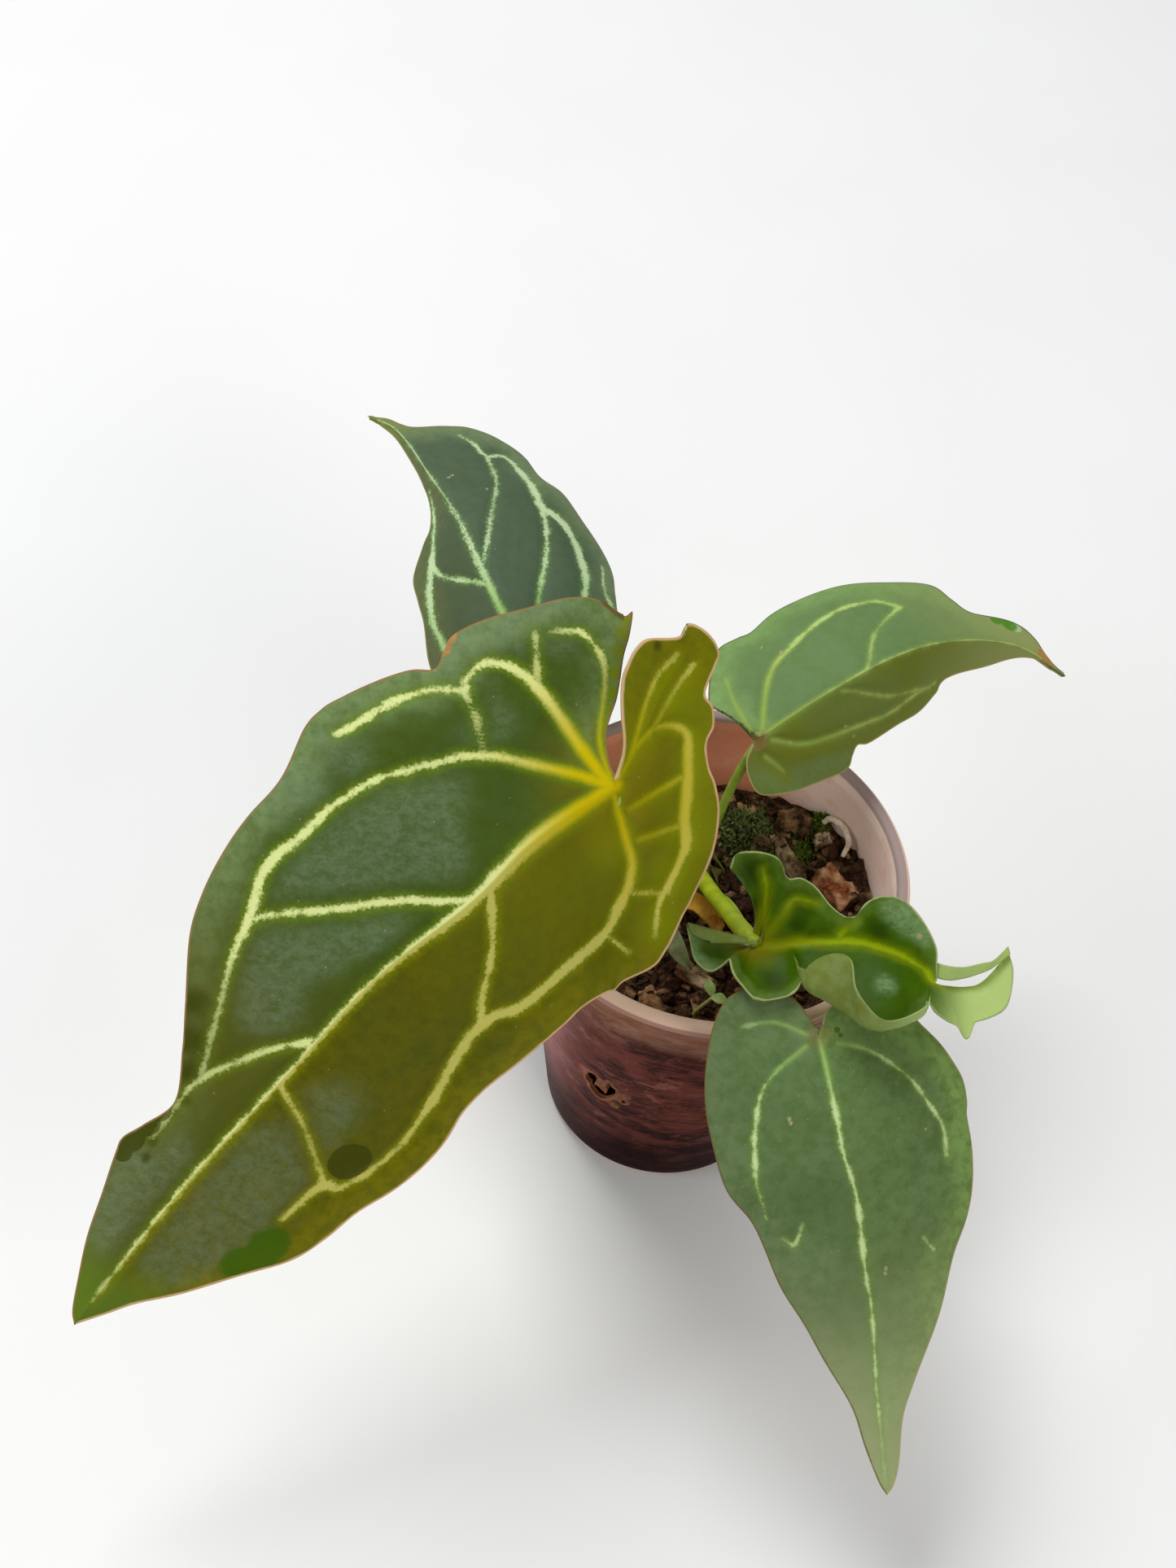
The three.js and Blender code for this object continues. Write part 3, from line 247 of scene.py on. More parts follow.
FRONT = {
    "spine": [
        (14.5, -26.5, 72.5), (17, -31.5, 70.5), (20, -38.5, 67.5), (23, -45, 63), (26, -49, 58.5),
        (29, -55.5, 51.5), (31.5, -60, 46), (34, -67, 39), (38, -78.5, 30),
    ],
    "up": (-0.05, -0.46, 0.89),
    "half": 18,
    "left": {
        "fold": [(-8, -10), (10, -9), (60, -14)],
        "curl": [(0, -18), (60, -14)],
        "outline": [
            (-1.5, 1), (-3, 2), (-4, 4.5), (-4, 8.5), (-1.5, 13), (1.5, 15.5), (4, 17.5), (7, 19),
            (10, 20), (14, 20), (19.5, 19.5), (23.5, 18.5), (31, 15.5), (38.5, 12), (44.5, 9),
            (51.5, 5.5), (56, 3.5), (62, 2.3), (65, 1.2),
        ],
        "veins": [
            [(1.5, 2.5, 0.3), (3.5, 7, 0.35), (8, 11.5, 0.4), (13, 14, 0.5), (18.5, 15.5, 0.5),
             (22, 14.5, 0.3)],
            [(31, 9, 0.2), (33.5, 10.5, 0.35)],
        ],
        "spots": [(17, 12.5), (34.3, 3), (35.1, 2.8)],
        "wet": [(-0.2, 2.8, 0.45), (0.6, 3.1, 0.35)],
    },
    "right": {
        "fold": [(-8, -1), (0, -2), (14, -7), (60, -14)],
        "curl": [(-4, -4), (12, -18), (60, -14)],
        "outline": [
            (-1.4, 0.2), (-3, 0.6), (-6, 2), (-8.5, 6), (-9, 9), (-7.5, 12), (-3, 15), (3, 17),
            (9.5, 18), (17, 17.5), (22.5, 16), (31, 13.5), (37.5, 11.5), (46, 8), (53.5, 4),
            (59.5, 2.5), (64.5, 1),
        ],
        "veins": [
            [(1, 2, 0.3), (4, 7.5, 0.35), (7, 10, 0.45), (11.5, 11.5, 0.5), (16, 12.5, 0.5), (19.5, 13, 0.4),
             (25, 13, 0.25)],
            [(26.5, 8, 0.15), (29.5, 9.5, 0.4), (28.5, 11, 0.15)],
            [(-0.5, 1.5, 0.25), (-3.5, 5.5, 0.2), (-4, 10, 0.15)],
        ],
        "spots": [(10.5, 6.5), (11.2, 6.4)],
    },
    "midrib": [(0.5, 0.4), (8, 0.65), (30, 0.65), (50, 0.45), (58, 0.28), (66, 0.15)],
}

# The newest leaf: rows of [midrib place, edge point, point half way across].

NEWEST_MIDRIB = [
    (6.5, -19, 72), (9.5, -19.5, 73), (12.5, -19, 74), (17, -19, 75.5), (21, -19, 76.5), (26, -20, 77),
    (30, -21.5, 76.5), (31.5, -22.8, 76), (33.2, -22.8, 75.4), (36.5, -21.9, 74.8),
    (38.7, -20.8, 75.3), (41.5, -17.5, 78.2),
]
NEWEST_LEFT = [
    (0, (1, -14.9, 82.8), (5.5, -16.8, 77.5)), (0, (1.6, -13.1, 83.9), (5.9, -16.1, 77.9)),
    (0, (4.5, -13, 85), (6.6, -15.9, 78.6)), (0, (7, -12.5, 84), (7.5, -15.6, 78.1)),
    (0.2, (8.3, -12.9, 82.7)), (0.5, (8.9, -13.2, 81.3)), (0.9, (9.8, -13.3, 80.6)),
    (1.4, (11.3, -12.8, 80.6)), (2, (13.5, -13.5, 80)), (2.6, (15.5, -15, 79)),
    (3.2, (18, -16, 78)), (3.6, (19.5, -16, 78.5)),
    (4, (20.5, -15, 80.5)), (4.5, (22.5, -14.5, 82)), (5, (25.5, -14.5, 82)), (5.5, (28.5, -16.5, 81)),
    (6, (31, -19, 79)), (6.5, (31.6, -21.2, 77.4)), (7, (32, -22.6, 76.2)), (7.3, (32.2, -22.8, 75.8)),
]
NEWEST_RIGHT = [
    (0, (5.5, -20, 72)), (0, (3, -20, 73)), (0, (0, -21.5, 74)), (0, (-2.5, -21.5, 75)),
    (0, (-3.5, -20.5, 75.5)), (0, (-2.5, -22, 73.5)), (0, (-1.5, -24, 72.5)), (0, (0.5, -25, 72)),
    (0, (2, -24.5, 73)), (0, (3, -24.5, 75)), (0, (4, -26.5, 74.5)), (0, (5.5, -27.5, 73.5)),
    (0.3, (7.5, -29, 73)), (0.7, (10, -28.5, 73)), (1.3, (12.5, -27.5, 74)), (1.7, (13.5, -25.5, 76)),
    (2.2, (15, -25, 79.5), (14, -27, 75.2)), (2.8, (17, -25, 81.5), (17, -28.4, 75.2)),
    (3.4, (19, -26.5, 82.5), (19.6, -29.8, 75.4)), (4, (20, -30.5, 82), (22, -31.3, 75.8)),
    (4.6, (22.5, -33, 81), (24, -31.3, 76.2)), (5.2, (24.5, -33, 79.5), (26.5, -30.3, 76.2)),
    (5.6, (27, -31.5, 78.5), (28.5, -29, 76)), (6.1, (29.5, -29, 77.5), (30.5, -27.4, 75.8)),
    (6.6, (31.2, -26.4, 75.8)), (7.2, (32.5, -27, 74.5)), (7.7, (34.5, -27.5, 73.5)),
    (8, (36, -28, 73.3)), (8.3, (37.5, -29, 72.3)), (8.5, (38, -27.4, 73)), (8.7, (38.2, -26.8, 73.5)),
    (9.2, (40, -26, 74)), (9.7, (42, -24.5, 74.5)), (10.2, (42.6, -22.5, 75.5)),
    (10.6, (42.5, -19.5, 77)), (11, (41.5, -17.5, 78.2)),
]
# Painted sheen of the newest leaf, pale bluish patches that stand for reflected light: (x, y, z, radius).
NEWEST_PAINTED_SHEEN = [
    (-2, -21.8, 74.6, 2), (-1.6, -24, 72.8, 2), (0.6, -25, 72.4, 2), (2.6, -16.3, 81.2, 1.5),
    (4, -17.2, 79, 1.3), (24, -16, 81, 2.4), (27, -16.6, 80.6, 3), (29.4, -18.2, 79.4, 2), (25, -25, 75.8, 2),
]
# Darker patches of it, in the same way.
NEWEST_DARK = [
    (4.4, -14.2, 82, 4), (6, -17, 77.5, 3), (12, -15.5, 78.5, 3.2), (9.5, -25.5, 73.4, 3.2),
    (15, -19, 75, 3), (12, -17.4, 76, 2.4), (23, -18, 78.5, 3), (18, -23, 76, 4),
]
# The two edges of the folded strip at its tip.
STRIP_A = [
    (30.1, -19.5, 76.1), (33, -20.7, 77.1), (35.5, -20.3, 76.9), (38, -19.3, 77.2),
    (39.5, -18.8, 77.7), (41.2, -16.8, 78.7),
]
STRIP_B = [
    (30.1, -21.2, 75), (33, -22.3, 75.8), (35.2, -21.7, 75.8), (37.4, -20.7, 76.1),
    (39.4, -19.6, 76.8), (41.7, -17.8, 78.3),
]

# Stalks: path from the crown to the blade, and radius.
PETIOLES = {
    "front_left": ([(-7, 5.5, 45), (-8, 2, 60), (-11.5, -5.5, 78), (-16, -15.8, 91),
                    (-17.4, -18.6, 98.8)], 1.5),
    "back_left": ([(-6.2, 11, 45), (-9, 12, 55), (-18, 13, 63.5), (-26, 14, 70), (-28.5, 14.5, 75.2)], 1.15),
    "back_right": ([(-0.6, 11.2, 46), (0, 12.4, 56), (1.2, 12.4, 68), (3, 11.6, 79)], 0.72),
    "newest": ([(-2.6, 7.4, 46), (-1.8, 4.6, 54), (1, -5.8, 63), (4.5, -15.4, 70), (6.6, -19.4, 72.3)], 1.28),
    "front": ([(1, 5, 46), (3.6, -2, 56), (9.6, -19.5, 65.6), (14.4, -28.2, 68), (17, -31.6, 69.8)], 1.05),
}

# Small pieces: a surface root, a withered sheath, an old small leaf and a seedling.
ROOT_PATH = [(17.2, 18.4, 54.6), (18.2, 18.4, 55.8), (20, 16.8, 56.4), (21.2, 14.2, 56.2),
             (20.6, 12, 55)]
SHEATH_A = [(-3, 1.8, 52.2), (-1.2, 0.8, 54.2), (1.5, -1, 54.6), (3.8, -3.2, 52.6)]
SHEATH_B = [(-3.4, 0, 50.4), (-1, -1.2, 52), (1.2, -2.8, 51.6), (3.2, -4.4, 50.8)]
JUVENILE_A = [(-4.6, -4.6, 52.8), (-3.2, -6.6, 54), (-1.6, -9.2, 53.4), (-0.2, -11.2, 51.2)]
JUVENILE_B = [(-4.4, -5, 52.4), (-5, -8, 52.6), (-3.2, -10.4, 51.8), (-0.4, -11.4, 50.9)]
JUVENILE_STALK = [(-5.4, 1.9, 50.2), (-5.4, -1.6, 51.2), (-4.6, -5.6, 52.5)]
SEEDLING_STEM = [(1, -16.8, 44.5), (1.4, -16.6, 48), (3.4, -15.6, 51)]
LEAFLETS = [
    ([(3, -15.4, 51), (1.9, -14.6, 51.8), (2.2, -13.2, 52)],
     [(3.6, -15.2, 51), (3.6, -14, 51.6), (2.6, -13, 51.8)]),
    ([(3.3, -15.3, 51), (4.6, -14.9, 51.6), (5.7, -15.8, 51.4)],
     [(3.2, -15.8, 51), (4.2, -16.6, 51.2), (5.5, -16.4, 51.2)]),
]


# Number work.

# Distance given to points with no line near them, and the value of a patch far outside it.
FAR = 30.0
OUTSIDE = -2.0
# Marks of distance stop growing at this many millimetres.
MARK_REACH = 12
# Share of a vein's half width that is fully pale.
VEIN_CORE = 0.62
SPOT_RADIUS = 0.4
# Where a hazy patch ends, as a share of its radius.
HAZE_REACH = 1.35


def smooth(points, spans):
    """A Catmull-Rom line through the points, as an array."""
    p = np.asarray(points, float)
    p = np.vstack([2 * p[0] - p[1], p, 2 * p[-1] - p[-2]])
    t = (np.arange(spans) / spans)[:, None]
    parts = []
    for i in range(1, len(p) - 2):
        a, b, c, d = p[i - 1:i + 3]
        bend = (2 * a - 5 * b + 4 * c - d) * t * t + (3 * b - 3 * c + d - a) * t ** 3
        parts.append(0.5 * (2 * b + (c - a) * t + bend))
    parts.append(p[-2:-1])
    return np.vstack(parts)


def pick(table, places):
    """Rows of a table at fractional places."""
    places = np.clip(np.asarray(places, float), 0, len(table) - 1)
    i = np.minimum(places.astype(int), len(table) - 2)
    t = (places - i)[..., None]
    return table[i] * (1 - t) + table[i + 1] * t


def eased(keys, places):
    """Values between keys [(place, value), ...], eased from key to key."""
    x, y = np.array(keys, float).T
    i = np.clip(np.searchsorted(x, places, side="right") - 1, 0, len(x) - 2)
    t = np.clip((places - x[i]) / (x[i + 1] - x[i]), 0, 1)
    return y[i] + (y[i + 1] - y[i]) * t * t * (3 - 2 * t)


def unit(vectors):
    return vectors / np.maximum(np.linalg.norm(vectors, axis=-1, keepdims=True), 1e-9)


def run_lengths(points):
    """Length of a line of points up to each of them."""
    return np.concatenate([[0], np.cumsum(np.linalg.norm(np.diff(points, axis=0), axis=1))])


def turns(count):
    """Angles of a full turn in equal steps."""
    return np.linspace(0, 2 * math.pi, count, endpoint=False)


def directions(turn):
    """Outwards and sideways at an angle round the pot."""
    out = np.array((math.cos(turn), math.sin(turn), 0.0))
    return out, np.array((-out[1], out[0], 0.0))


def beside(points, start, end):
    """Each point's place along a straight piece, from 0 to 1, and its distance from the piece."""
    ahead = end - start
    t = np.clip((points - start) @ ahead / max(ahead @ ahead, 1e-9), 0, 1)
    return t, np.linalg.norm(points - start - t[:, None] * ahead, axis=1)


def nearest(points, line):
    """Least distance of each point to a line of points, in millimetres."""
    best = np.full(len(points), FAR)
    for start, end in zip(line[:-1], line[1:]):
        best = np.minimum(best, beside(points, start, end)[1])
    return best


def vein_marks(points, lines, finest):
    """Distance of each point to the edge of the nearest vein, below 0 inside it, and that vein's strength.
    A line's last column is its half width. A vein finer than the mesh can show is widened, but weaker."""
    best = np.full(len(points), FAR)
    strength = np.zeros(len(points))
    for line in lines:
        line = smooth(line, 5)
        for start, end in zip(line[:-1], line[1:]):
            t, off = beside(points, start[:-1], end[:-1])
            width = VEIN_CORE * (start[-1] + (end[-1] - start[-1]) * t)
            off = off - np.maximum(width, finest)
            closer = off < best
            best = np.where(closer, off, best)
            strength = np.where(closer, np.clip(width / finest, 0, 1), strength)
    return best, strength


def blobs(points, places):
    """1 in the middle of a round patch (x, y, radius), 0 at its edge and below 0 outside."""
    best = np.full(len(points), OUTSIDE)
    for *middle, radius in places:
        best = np.maximum(best, 1 - np.linalg.norm(points - np.array(middle), axis=1) / radius)
    return best


def haze(points, places):
    """Patches (x, y, radius) that melt into each other, from 1 in the middle to 0 outside."""
    total = np.zeros(len(points))
    for *middle, radius in places:
        far = np.linalg.norm(points - np.array(middle), axis=1) / (HAZE_REACH * radius)
        total += np.clip(1 - far * far, 0, 1) ** 2
    return np.minimum(total, 1)


def waves(points, size, seed, count=7):
    """A smooth uneven field between about -1 and 1, with lumps of that size."""
    random_numbers = np.random.default_rng(seed)
    total = np.zeros(len(points))
    for _ in range(count):
        direction = unit(random_numbers.normal(size=points.shape[1]))
        turn = random_numbers.uniform(0, 2 * math.pi)
        stretch = random_numbers.uniform(0.7, 1.5)
        total += np.sin(points @ direction * 2 * math.pi * stretch / size + turn)
    return total / math.sqrt(count) / 1.4


def waves_three(points, size, seed):
    """Three such fields, to move points every way."""
    return np.stack([waves(points, size, seed + k) for k in range(3)], 1)


# Meshes.

def into_scene(name, data):
    made = bpy.data.objects.new(name, data)
    bpy.context.scene.collection.objects.link(made)
    return made


def mesh_of(name, points, faces):
    """A mesh from points in millimetres."""
    mesh = bpy.data.meshes.new(name)
    mesh.from_pydata((np.asarray(points) * METRE).tolist(), [], [list(map(int, f)) for f in faces])
    return mesh


def add_marks(mesh, marks):
    """Named values at a mesh's points, which its material reads."""
    for mark, values in marks.items():
        layer = mesh.attributes.new(mark, "FLOAT", "POINT")
        layer.data.foreach_set("value", np.asarray(values, np.float32))


def make_object(name, points, faces, material, nodes, slot, marks=None, even=True):
    """A mesh object from points in millimetres, which rides on the root and stands for its CAD nodes."""
    mesh = mesh_of(name, points, faces)
    add_marks(mesh, marks or {})
    mesh.validate()
    mesh.update()
    if even:
        mesh.polygons.foreach_set("use_smooth", [True] * len(mesh.polygons))
    mesh.materials.append(material)
    piece = into_scene(name, mesh)
    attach(piece, "root")
    if nodes:
        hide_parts(*nodes)
    return piece


def grid_faces(rows, columns, flip=False):
    """Quads of a grid of points whose last column joins the first."""
    faces = []
    for i in range(rows - 1):
        for c in range(columns):
            d = (c + 1) % columns
            quad = (i * columns + c, i * columns + d, (i + 1) * columns + d, (i + 1) * columns + c)
            faces.append(quad[::-1] if flip else quad)
    return faces


def close_ends(points, faces, sides, middles, flip=False):
    """Closes the first and the last ring of a grid with fans round two middle points."""
    foot, last = len(points), len(points) - sides
    for c in range(sides):
        d = (c + 1) % sides
        for fan in ((foot, d, c), (foot + 1, last + c, last + d)):
            faces.append(fan[::-1] if flip else fan)
    return np.vstack([points, middles])


def prism(ring, reach):
    """Points and faces of a ring of points pulled along a vector."""
    n = len(ring)
    points = np.vstack([ring, np.array(ring) + np.array(reach)])
    faces = [tuple(range(n))[::-1], tuple(range(n, 2 * n))]
    faces += [(i, (i + 1) % n, n + (i + 1) % n, n + i) for i in range(n)]
    return points, faces


def vertex_normals(points, faces):
    normals = np.zeros_like(points)
    for face in (faces[:, [0, 1, 2]], faces[:, [0, 2, 3]]):
        a, b, c = points[face[:, 0]], points[face[:, 1]], points[face[:, 2]]
        n = np.cross(b - a, c - a)
        for k in range(3):
            np.add.at(normals, face[:, k], n)
    return unit(normals)


class Sheet:
    """An upper surface made of grids of rows, joined where their points meet, then given thickness."""

    def __init__(self):
        self.points = []
        self.marks = []
        self.faces = []
        self.count = 0

    def add(self, rows, marks, flip):
        """rows: (rows, columns, 3). marks: name to (rows, columns) values."""
        n, m = rows.shape[:2]
        index = np.arange(n * m).reshape(n, m) + self.count
        a, b = index[:-1, :-1].ravel(), index[1:, :-1].ravel()
        d, e = index[:-1, 1:].ravel(), index[1:, 1:].ravel()
        self.faces.append(np.stack([a, d, e, b] if flip else [a, b, e, d], 1))
        self.points.append(rows.reshape(-1, 3))
        self.marks.append({k: np.broadcast_to(v, (n, m)).ravel() for k, v in marks.items()})
        self.count += n * m

    def close(self, thickness):
        """Points, faces and marks of the closed sheet. thickness takes the marks and gives millimetres."""
        points = np.vstack(self.points)
        marks = {k: np.concatenate([m[k] for m in self.marks]) for k in self.marks[0]}
        _, first, number = np.unique(np.round(points, 3), axis=0, return_index=True, return_inverse=True)
        faces = number.ravel()[np.vstack(self.faces)]
        points = points[first]
        marks = {k: v[first] for k, v in marks.items()}
        flat = (faces[:, 0] == faces[:, 2]) | (faces[:, 1] == faces[:, 3])
        faces = faces[~flat]
        normals = vertex_normals(points, faces)
        points = points + normals * marks.pop("rise")[:, None]
        lower = points - normals * np.reshape(thickness(marks), (-1, 1))
        count = len(points)
        sides = {}
        for shift in range(4):
            for p, q in zip(faces[:, shift], faces[:, (shift + 1) % 4]):
                if p != q:
                    sides[(int(p), int(q))] = True
        walls = [(p, p + count, q + count, q) for p, q in sides if (q, p) not in sides]
        whole = []
        for face in [tuple(f) for f in faces] + [tuple(f) for f in faces[:, ::-1] + count] + walls:
            corners = [int(v) for k, v in enumerate(face) if v != face[k - 1]]
            if len(corners) > 2:
                whole.append(corners)
        marks = {k: np.concatenate([v, v]) for k, v in marks.items()}
        marks["under"] = np.concatenate([np.zeros(count), np.ones(count)])
        return np.vstack([points, lower]), whole, marks


def tube(path, radii, sides=16, spans=8, caps=True):
    """Points and faces of a round bar along a smoothed path, with radii eased along it."""
    line = smooth(path, spans)
    count = len(line)
    radius = np.interp(np.linspace(0, 1, count), np.linspace(0, 1, len(radii)), radii)
    ahead = unit(np.gradient(line, axis=0))
    side = np.cross(ahead[0], (0.3, 0.2, 1.0))
    turn = turns(sides)[:, None]
    rings = []
    for k in range(count):
        side = unit(side - ahead[k] * (side @ ahead[k]))
        other = np.cross(ahead[k], side)
        rings.append(line[k] + radius[k] * (np.cos(turn) * side + np.sin(turn) * other))
    faces = grid_faces(count, sides)
    if caps:
        faces.append(tuple(range(sides))[::-1])
        faces.append(tuple(range((count - 1) * sides, count * sides)))
    return np.vstack(rings), faces


def joined(parts):
    """Several (points, faces) put in one list."""
    points, faces, start = [], [], 0
    for p, f in parts:
        points.append(np.asarray(p))
        faces += [[v + start for v in face] for face in f]
        start += len(p)
    return np.vstack(points), faces


def ribbon(edge_a, edge_b, spans, columns, bow=0.0, thickness=0.25, ripple=0.0, seed=1):
    """Points and faces of a thin closed strip between two edge lines, bowed up in the middle."""
    a, b = smooth(edge_a, spans), smooth(edge_b, spans)
    across = np.linspace(0, 1, columns)
    t = across[None, :, None]
    rows = a[:, None] * (1 - t) + b[:, None] * t
    uneven = ripple * waves(rows.reshape(-1, 3), 3, seed).reshape(rows.shape[:2])
    sheet = Sheet()
    sheet.add(rows, {"rise": bow * np.sin(math.pi * across) + uneven}, flip=False)
    return sheet.close(lambda marks: thickness)[:2]


# Leaf blades that follow a flat outline.

# Length ahead of and behind a place, over which the midrib's direction is taken.
DIRECTION_REACH = 4
CURL_STEPS = 12
# Turn, in radians, over which the rows of a lobe straighten out from the edge of the slot.
SLOT_FADE = 0.7
SLOT_SLACK = 0.01
# Rows on each side over which the fan of a lobe is evened out.
FAN_EVENING = 4
PATCHES = ("olive", "dark", "wet", "vivid", "scorch")
# Relief in millimetres: sunk veins, swollen fields between them, an uneven face with lumps of that size,
# and how far the whole face lies below the line of the midrib.
VEIN_DEPTH = 0.22
SWELL = 0.32
UNEVEN = 0.16
UNEVEN_SIZE = 13
FACE_DROP = 0.15
# Thickness in millimetres: of the blade, and what is added under its veins and its midrib.
BLADE_THICKNESS = 0.26
VEIN_THICKNESS = 0.24
RIB_THICKNESS = 0.35


def half_of(blade, sign):
    return blade["left"] if sign > 0 else blade["right"]


class Midrib:
    """Places and directions along a blade's midrib."""

    def __init__(self, blade):
        spans = 24
        self.samples = smooth(blade["spine"], spans)
        self.lengths = run_lengths(self.samples)
        self.start = self.lengths[spans]
        self.length = self.lengths[-1] - self.start
        self.up = np.array(blade["up"])

    def point(self, along):
        reach = along + self.start
        i = np.clip(np.searchsorted(self.lengths, reach), 1, len(self.lengths) - 1)
        t = (reach - self.lengths[i - 1]) / (self.lengths[i] - self.lengths[i - 1])
        return self.samples[i - 1] + (self.samples[i] - self.samples[i - 1]) * t[..., None]

    def on_half(self, blade, sign, along, out):
        """Points of a folded and curled half at (along the midrib, out from it)."""
        half = half_of(blade, sign)
        ahead = unit(self.point(along + DIRECTION_REACH) - self.point(along - DIRECTION_REACH))
        side = unit(np.cross(self.up, ahead))
        normal = np.cross(ahead, side)
        fold = np.radians(eased(half["fold"], along))
        curl = np.radians(eased(half["curl"], along))
        across = np.zeros_like(out)
        lift = np.zeros_like(out)
        for i in range(CURL_STEPS):
            place = (i + 0.5) / CURL_STEPS * out
            angle = fold + curl * (np.maximum(place, 0) / blade["half"]) ** 2
            across += np.cos(angle) * out / CURL_STEPS
            lift += np.sin(angle) * out / CURL_STEPS
        return self.point(along) + side * (sign * across)[..., None] + normal * lift[..., None]


def half_rows(blade, midrib, sign, spacing, columns):
    """Flat places of the rows of one half: a fan round the stalk for the lobe, then one row a station.
    The fan's first row follows the slot between the lobes, and the next ones bend less and less."""
    edge = smooth(half_of(blade, sign)["outline"] + [(midrib.length, 0)], 16)
    reached = np.maximum.accumulate(np.minimum(edge[:, 0] - 0.5 * np.abs(edge[:, 1]), midrib.length))
    reached = np.maximum(reached, 0)
    lobe_end = int(np.argmax(reached > 0)) - 1
    angles = np.arctan2(edge[:lobe_end + 1, 1], -edge[:lobe_end + 1, 0])
    least = angles.min()
    slot_end = int(np.flatnonzero(angles < least + SLOT_SLACK)[-1])
    lengths = run_lengths(edge[slot_end:lobe_end + 1])
    lobe_rows = max(int(lengths[-1] / spacing), 2)
    around = np.linspace(0, lengths[-1], lobe_rows, endpoint=False)
    lobe = np.interp(around, lengths, np.arange(slot_end, lobe_end + 1))
    stations = np.linspace(0, midrib.length, int(midrib.length / spacing) + 1)
    tail = np.arange(lobe_end, len(edge))
    places = np.interp(stations, reached[tail] + np.arange(len(tail)) * 1e-7, tail)
    places[-1] = len(edge) - 1
    station = np.concatenate([np.zeros(lobe_rows), stations])[:, None]
    ends = pick(edge, np.concatenate([lobe, places]))
    t = np.linspace(0, 1, columns + 1)[None, :]
    along, out = station + (ends[:, :1] - station) * t, ends[:, 1:] * t

    fan = ends[:lobe_rows + 1]
    turn = np.maximum.accumulate(np.arctan2(fan[:, 1], -fan[:, 0]))
    window = 2 * FAN_EVENING + 1
    turn = np.pad(turn, FAN_EVENING, mode="reflect", reflect_type="odd")
    turn = np.convolve(turn, np.full(window, 1 / window), "valid")
    straight = np.hypot(fan[:, 0], fan[:, 1])[:, None] * np.stack([-np.cos(turn), np.sin(turn)], 1)
    slot = np.vstack([[(0, 0)], edge[:slot_end + 1]])
    aside = pick(slot, t[0] * (len(slot) - 1)) - t.T * edge[slot_end]
    bend = eased([(0, 1), (1, 0)], (turn - least) / SLOT_FADE)[:, None]
    for values, axis in ((along, 0), (out, 1)):
        way, end = straight[:, axis:axis + 1], fan[:, axis:axis + 1]
        values[:lobe_rows] = (way * t + (end - way) * t ** 4 + bend * aside[:, axis])[:lobe_rows]
    return along, out, edge


def leaf_marks(points, veins, finest, edge, patches, spots):
    """Distances and patches that the leaf materials and the relief use."""
    vein, strength = vein_marks(points, veins, finest)
    rim = nearest(points, edge)
    # The sheen mark says where a painted sheen lies, pale bluish colour that stands for reflected light.
    marks = {"vein": np.minimum(vein, MARK_REACH), "strength": strength, "rim": np.minimum(rim, MARK_REACH),
             "spots": blobs(points, spots), "bloom": haze(points, patches.get("bloom", []))}
    for kind in PATCHES:
        marks[kind] = blobs(points, patches.get(kind, []))
    return marks


def bell(distance, width):
    """1 at no distance, falling softly to 0."""
    return np.exp(-(np.maximum(distance, 0) / width) ** 2)


def make_blade(name, blade, material, slot, spacing, columns, seed, finest):
    """A blade with sunk veins, swollen fields between them and an uneven face."""
    midrib = Midrib(blade)
    rib = [[(u, 0.0, w) for u, w in blade["midrib"]]]
    sheet = Sheet()
    for sign in (1, -1):
        half = half_of(blade, sign)
        along, out, edge = half_rows(blade, midrib, sign, spacing, columns)
        flat = np.stack([along.ravel(), out.ravel()], 1)
        spots = [(*place, SPOT_RADIUS) for place in half.get("spots", [])]
        marks = leaf_marks(flat, half["veins"] + rib, finest, edge[::3], half, spots)
        marks["reach"] = np.hypot(flat[:, 0], flat[:, 1])
        marks["along"] = flat[:, 0] / midrib.length
        marks["rib"] = np.hypot(np.minimum(flat[:, 0], 0), flat[:, 1])
        marks["half"] = np.full(len(flat), 1.0 if sign > 0 else 0.0)
        sunk = VEIN_DEPTH * marks["strength"] * bell(marks["vein"], 0.9)
        within = np.clip(marks["rim"] / 5, 0, 1)
        swell = SWELL * np.clip(marks["vein"] / 6, 0, 1) * within
        uneven = UNEVEN * waves(flat * (1, sign), UNEVEN_SIZE, seed) * within
        marks["rise"] = swell - sunk + uneven * np.clip(marks["rib"] / 3, 0, 1) - FACE_DROP
        marks = {key: values.reshape(along.shape) for key, values in marks.items()}
        sheet.add(midrib.on_half(blade, sign, along, out), marks, flip=sign < 0)

    def thickness(m):
        under_veins = VEIN_THICKNESS * m["strength"] * bell(m["vein"], 0.8)
        return BLADE_THICKNESS + under_veins + RIB_THICKNESS * bell(m["rib"], 1.1)

    points, faces, marks = sheet.close(thickness)
    return make_object(name, points, faces, material, [name.replace("leaf", "blade")], slot, marks)


# Materials. Colours are tuples on the 0 to 255 scale of screens until rgb() makes them linear.

def rgb(red, green, blue):
    """The linear colour that shaders take."""
    def linear(v):
        v = v / 255
        return v / 12.92 if v <= 0.04045 else ((v + 0.055) / 1.055) ** 2.4
    return (linear(red), linear(green), linear(blue), 1)


